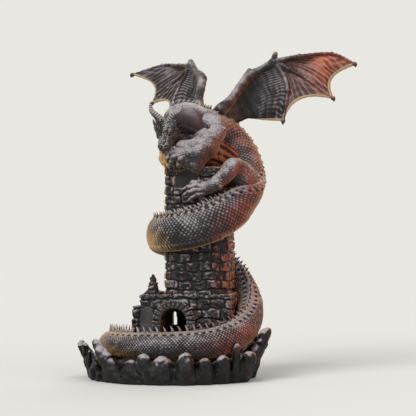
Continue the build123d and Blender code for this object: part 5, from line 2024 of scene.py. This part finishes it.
# ---- wings
@dataclass
class Wing:
    """One wing, its points given across from the shoulders' middle, back and up."""

    side: Side
    shoulder: tuple = (19.0, 5.0, 0.0)
    root: tuple = (7.6, 6.0, 156.5)
    elbow: tuple = (17.5, 26.5, 181.0)
    wrist: tuple = (31.6, 33.8, 190.0)
    trailing: tuple = (7.8, 29.6, 154.0)  # where the skin ends behind the shoulder
    # three points of each finger after the wrist, and the radius at all four
    first: tuple = ((46.0, 40.0, 193.2), (65.0, 47.0, 194.2), (83.5, 43.0, 187.4))
    second: tuple = ((40.0, 37.4, 185.6), (50.0, 40.4, 180.0), (69.0, 41.7, 167.5))
    third: tuple = ((37.6, 35.0, 182.0), (42.4, 32.6, 172.0), (45.0, 24.3, 154.0))
    radii: tuple = ((1.7, 1.15, 1.0, 0.85), (1.6, 1.3, 1.15, 0.85), (1.6, 1.25, 1.05, 0.85))
    slim: float = 1.0  # share of those radii
    spur: float = 1.0  # share of the longest spurs of elbow and wrist
    spur_lean: float = 0.9
    scallop: tuple = (0.20, 0.26, 0.06)  # how far each panel's free edge is drawn in
    billow: float = 2.4  # how far a panel swells out
    fans: tuple = (11, 12, 19)  # creases that fan out over each panel
    hangs: tuple = (9, 8, 7)  # folds that hang down each panel
    crease_depths: tuple = ((0.2, 0.42), (0.24, 0.4), (0.3, 0.03))  # of each panel's creases and folds
    peg: tuple = (1.95, 1.95, 4.1)  # half sizes of the square peg and what it goes through
    samples: tuple = ((80, 86), (80, 86), (94, 104))  # down and across each panel
    red: tuple = (1.0, 0.72, 0.0)  # how much red painted light each panel takes

    def __post_init__(self) -> None:
        """Places the wing's points on its side."""
        self.name = self.side.name.lower()
        self.left, self.back = np.array([0.8, -0.6, 0]), np.array([0.6, 0.8, 0])
        self.out = self.left * self.side.value
        fingers = (self.first, self.second, self.third)
        self.root, self.elbow, self.wrist = map(self.at, (self.root, self.elbow, self.wrist))
        self.trailing = self.at(self.trailing)
        self.axis = unit(self.elbow - self.root)
        self.seat = self.root + self.axis * 6.0
        self.fingers = [np.array([self.wrist] + [self.at(p) for p in finger]) for finger in fingers]

    def at(self, point: tuple) -> Array:
        """A point given across, back and up, on this side."""
        across, back, z = point
        return self.shoulder + self.out * across + self.back * back + np.array([0, 0, z])

    def build(self) -> None:
        """Builds the bones and the skin of the wing."""
        self._bones()
        self._skin()

    def _bones(self) -> None:
        """Builds the arm, the fingers with their knuckles, the claws and the peg."""
        every = np.vstack([self.seat, self.elbow, *self.fingers])
        clay = Clay(every.min(0) - 5, every.max(0) + 8, 0.4)
        start = self.seat + self.axis * 0.2
        middle = (self.root + self.elbow) / 2 + [0, 0, -1.4]
        forearm = (self.elbow + self.wrist) / 2
        arm = [(*start, 3.9), (*middle, 2.7), (*self.elbow, 2.7), (*forearm, 2.1), (*self.wrist, 2.3)]
        clay.add(chain(arm, 4), 0.6)
        clay.add(Blob(self.elbow, (3.2, 3.0, 3.0)), 1.0).add(Blob(self.wrist, (2.9, 2.7, 2.7)), 1.0)
        for finger, widths in zip(self.fingers, self.radii):
            radii = np.array(widths) * self.slim
            clay.add(chain(np.column_stack([finger, radii]), 6), 0.9)
            for joint, r in zip(finger[1:-1], radii[1:]):
                clay.add(Blob(joint, (r * 1.45,) * 3), 0.9)
            on = unit(finger[-1] - finger[-2])
            hook_tip = finger[-1] + on * 1.0 + np.array([0, 0, -1.6])
            clay.add(chain([(*finger[-1], 1.1), (*(finger[-1] + on * 0.9), 0.9), (*hook_tip, 0.3)], 3), 0.5)
            clay.add(Blob(finger[-1], (1.4, 1.4, 1.4)), 0.5)
        for joint, reach in ((self.elbow, 4.4), (self.wrist, 5.2)):
            mid = joint + np.array([0, 0, reach * 0.6 * self.spur]) + self.out * 0.5 * self.spur_lean
            tip = joint + np.array([0, 0, reach * self.spur]) + self.out * 1.4 * self.spur_lean
            clay.add(chain([(*joint, 1.8), (*mid, 1.53), (*tip, 1.116)], 3), 0.8)
        shape = hide_texture(clay.surface(), 1.3, 0.1, 0.42, 0.1)
        # red painted light on the left wing's far part
        if self.side is Side.LEFT:
            away = (shape.verts - self.shoulder) @ self.left
            shape.tint = 0.92 * ramp(away, 40.0, 60.0) * (0.8 + 0.2 * Noise.smooth(shape.verts, 6.0, 97))
        side = unit(self.left - self.axis * (self.left @ self.axis))
        axes = (side, np.cross(self.axis, side), self.axis)
        peg_end = self.seat - self.axis * 6.8
        middle = (peg_end + self.seat + self.axis * 1.5) / 2
        peg = Clay(middle - 6, middle + 6, 0.25)
        peg.add(Slab(middle, self.peg, axes, 0.15))
        shape = shape.join(peg.surface(0))
        body = f"wing_{self.name}"
        own(shape.build(f"{body}_arm", Paint.HIDE), body, "hide", f"{body}_bones")

    def _skin(self) -> None:
        """Builds the three panels of creased skin, thick at their free edge."""
        start, count = 0.05, self.samples[0][0]
        sides = [self._along(finger, start, count) for finger in self.fingers]
        outer, middle = (self._panel(k, sides[k], sides[k + 1], self.wrist) for k in range(2))
        down, over = self.samples[2]
        inner, side = self.seat + self.axis * 1.4, self._along(self.fingers[2], 0.02, down)
        s = np.linspace(0, 1, down)[:, None]
        edge = inner * (1 - s) + self.trailing * s + np.array([0, 0, -5.4]) * (4 * s * (1 - s))
        top = curve(np.array([side[0], self.elbow, inner]), 2 * np.linspace(0, 1, over))
        last = self._panel(2, side, edge, self.elbow, top)
        body = f"wing_{self.name}"
        skin = outer.join(middle).join(last).build(f"{body}_skin", Paint.SKIN)
        own(skin, body, "wing_skin", f"{body}_membrane")

    @staticmethod
    def _along(points: Array, start: float, count: int) -> Array:
        """Points along a finger, from a share of its length to its tip."""
        return curve(points, (start + (1 - start) * np.linspace(0, 1, count)) * (len(points) - 1))

    def _panel(self, k: int, left: Array, right: Array, towards: Array, top: Array | None = None) -> Sculpt:
        """Builds one panel of skin between two lines.

        Args:
            k: which panel, from the wing's tip.
            left: one side of the panel, from its top to its free edge.
            right: the other side.
            towards: the point that the free edge is drawn towards.
            top: the upper edge, or None for a straight one.

        Returns:
            The panel.
        """
        n, m = self.samples[k]
        s, v = np.linspace(0, 1, n), np.linspace(0, 1, m)
        upper = left[0] + (right[0] - left[0]) * v[:, None] if top is None else top
        drawn_in = (towards - (left[-1] + right[-1]) / 2) * (self.scallop[k] * 4 * v * (1 - v))[:, None]
        lower = left[-1] + (right[-1] - left[-1]) * v[:, None] + drawn_in
        down, over = s[:, None, None], v[None, :, None]
        flat = upper[None] * (1 - down) + lower[None] * down
        flat = flat + left[:, None] * (1 - over) + right[:, None] * over
        for line, share in ((upper, 1 - down), (lower, down)):
            flat = flat - share * (line[0] * (1 - over) + line[-1] * over)
        normal = unit(np.cross(np.gradient(flat, axis=0), np.gradient(flat, axis=1)))
        down, over = down[..., 0], over[..., 0]
        flat = flat + normal * (self.billow * self.side.value * np.sin(math.pi * over) * down)[..., None]
        places = np.stack(np.broadcast_arrays(down * 40, over * 40, 9.0 * k), -1).reshape(-1, 3)
        wander = Noise.smooth(places, 9.0, 91, 2).reshape(n, m)
        fine = Noise.smooth(places * [0.35, 1.6, 1], 2.6, 95, 2).reshape(n, m)
        spread = down**0.85 + 0.09 * np.sin(math.pi * over) + 0.035 * wander
        fans = np.abs(np.sin(math.pi * self.fans[k] * spread))
        hang = np.abs(np.sin(math.pi * self.hangs[k] * (over + 0.05 * wander)))
        inside = np.minimum(over, 1 - over)
        edges = 0.55 + 0.75 * ramp(inside, 0.3, 0.05)
        lines, folds = self.crease_depths[k]
        crease = lines * edges * (1 - fans) ** 0.8 + folds * (1 - hang) ** 2.5 * ramp(down, 0.15, 0.8)
        crease = (crease + 0.14 * fine) * ramp(inside, 0.0, 0.06) * ramp(down, 0.0, 0.1)
        rim = np.exp(-(((1 - down) * 34) ** 2))
        thick = 0.42 + 0.45 * rim
        front, back = (normal * grow[..., None] for grow in (thick + crease, thick - crease * 0.8))
        shape = Sheet(flat + front, flat - back).skin()
        # pale creases and free edge as painted highlights
        relief = 0.22 + 1.5 * crease + 0.2 * wander + 0.25 * rim
        shape.relief = np.tile(np.broadcast_to(relief, (n, m)).ravel(), 2)
        # red painted light growing outwards, and ochre painted rim light along the free edge
        away = ramp((flat - self.shoulder) @ self.out, 42.0, 66.0)
        tint = self.red[k] * (0.35 + 0.65 * away) * (0.8 + 0.3 * wander - 0.15 * ramp(crease, 0.3, 0.0))
        tint = np.clip(tint, 0, 1) * (1 - rim) - 0.75 * ramp(rim, 0.4, 0.8)
        shape.tint = np.tile(tint.ravel(), 2)
        return shape


# ---- stage
@dataclass
class Studio:
    """The floor, the lights and the camera."""

    eye: tuple = (24.6, -1200.0, 118.0)
    target: tuple = (24.6, 0.0, 101.7)
    width: float = 249.6  # millimetres across the view at the figure
    backdrop: str = "e9e7e1"
    light: str = "e9e8e6"
    floor: str = "d9d7d3"
    floor_half: float = 18.0  # metres
    # each lamp's name, the way to it, how wide it is in degrees, and its strength
    lamps: tuple = (
        ("key", (-0.75, -0.95, 1.05), 34.0, 2.2),
        ("fill", (1.0, -0.8, 0.5), 60.0, 0.6),
        ("back", (0.35, 0.85, 0.9), 40.0, 0.9),
    )

    def build(self) -> None:
        """Sets up the scene round the figure."""
        scene = bpy.context.scene
        self._floor()
        self._sky(scene)
        scene.view_settings.view_transform = "Standard"
        for lamp in self.lamps:
            self._lamp(*lamp)
        self._camera(scene)

    def _sky(self, scene: bpy.types.Scene) -> None:
        """Puts an even pale light all round, which the camera sees in the floor's own lit shade.

        Args:
            scene: the scene to light.
        """
        world = bpy.data.worlds.new("studio")
        tree = empty_tree(world)
        light = add_node(tree, "ShaderNodeBackground", {"Color": shade(self.light), "Strength": 0.55})
        seen = add_node(tree, "ShaderNodeBackground", {"Color": shade(self.backdrop), "Strength": 1.0})
        rays = add_node(tree, "ShaderNodeLightPath").outputs
        direct = {0: rays["Is Camera Ray"], 1: rays["Is Glossy Ray"]}
        share = add_node(tree, "ShaderNodeMath", direct, operation="MAXIMUM")
        mix = add_node(tree, "ShaderNodeMixShader", {0: share, 1: light, 2: seen})
        add_node(tree, "ShaderNodeOutputWorld", {"Surface": mix})
        scene.world = world

    def _floor(self) -> None:
        """Lays a wide pale floor under the base."""
        low = min(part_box(node)[0].z for node in ("rock_base", "rock_shards_back", "rock_shards_front"))
        mesh, r = bpy.data.meshes.new("floor"), self.floor_half
        mesh.from_pydata([(-r, -r, low), (r, -r, low), (r, r, low), (-r, r, low)], [], [(0, 1, 2, 3)])
        floor, pale = put("floor", mesh), bpy.data.materials.new("floor")
        tree = empty_tree(pale)
        finish = {"Base Color": shade(self.floor), "Roughness": 1.0, "Specular IOR Level": 0.0}
        shader = add_node(tree, "ShaderNodeBsdfPrincipled", finish)
        add_node(tree, "ShaderNodeOutputMaterial", {"Surface": shader})
        mesh.materials.append(pale)

    @staticmethod
    def _lamp(name: str, direction: tuple, angle: float, strength: float) -> None:
        """Hangs a broad soft light far away, so that the floor is lit evenly.

        Args:
            name: the lamp's name.
            direction: where the light comes from.
            angle: how wide the light is, in degrees.
            strength: its strength.
        """
        light = bpy.data.lights.new(name, "SUN")
        light.angle, light.energy = math.radians(angle), strength
        lamp = put(name, light)
        lamp.location = Vector(direction) * 2
        lamp.rotation_mode = "QUATERNION"
        lamp.rotation_quaternion = (-Vector(direction)).to_track_quat("-Z", "Y")

    def _camera(self, scene: bpy.types.Scene) -> None:
        """Sets up the camera, level with the tower and a little above the middle.

        Args:
            scene: the scene that it looks at.
        """
        data = bpy.data.cameras.new("camera")
        camera = put("camera", data)
        camera.location = Vector(self.eye) * MM
        aim = Vector(self.target) - Vector(self.eye)
        camera.rotation_mode = "QUATERNION"
        camera.rotation_quaternion = aim.to_track_quat("-Z", "Y")
        data.sensor_width = 36.0
        data.lens = 36.0 * aim.length / self.width
        data.clip_start, data.clip_end = 0.05, 60.0
        scene.camera = camera


def main() -> None:
    """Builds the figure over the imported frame."""
    logging.basicConfig(level=logging.INFO, format="%(message)s")
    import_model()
    scatter = Scatter()
    finger = ((46, 40, 190.8), (65, 47, 191.8), (86, 43, 186.4))  # the right wing's first, which sits lower
    right = Wing(Side.RIGHT, first=finger, slim=0.85, spur=0.55, spur_lean=0.2, red=(0.06, 0.03, 0.0))
    parts = (Masonry(scatter), Rocks(), Body(scatter), Limbs(), Head(scatter))
    for part in (*parts, Wing(Side.LEFT), right, Studio()):
        log.info("building %s", type(part).__name__)
        part.build()


if __name__ == "__main__":
    main()
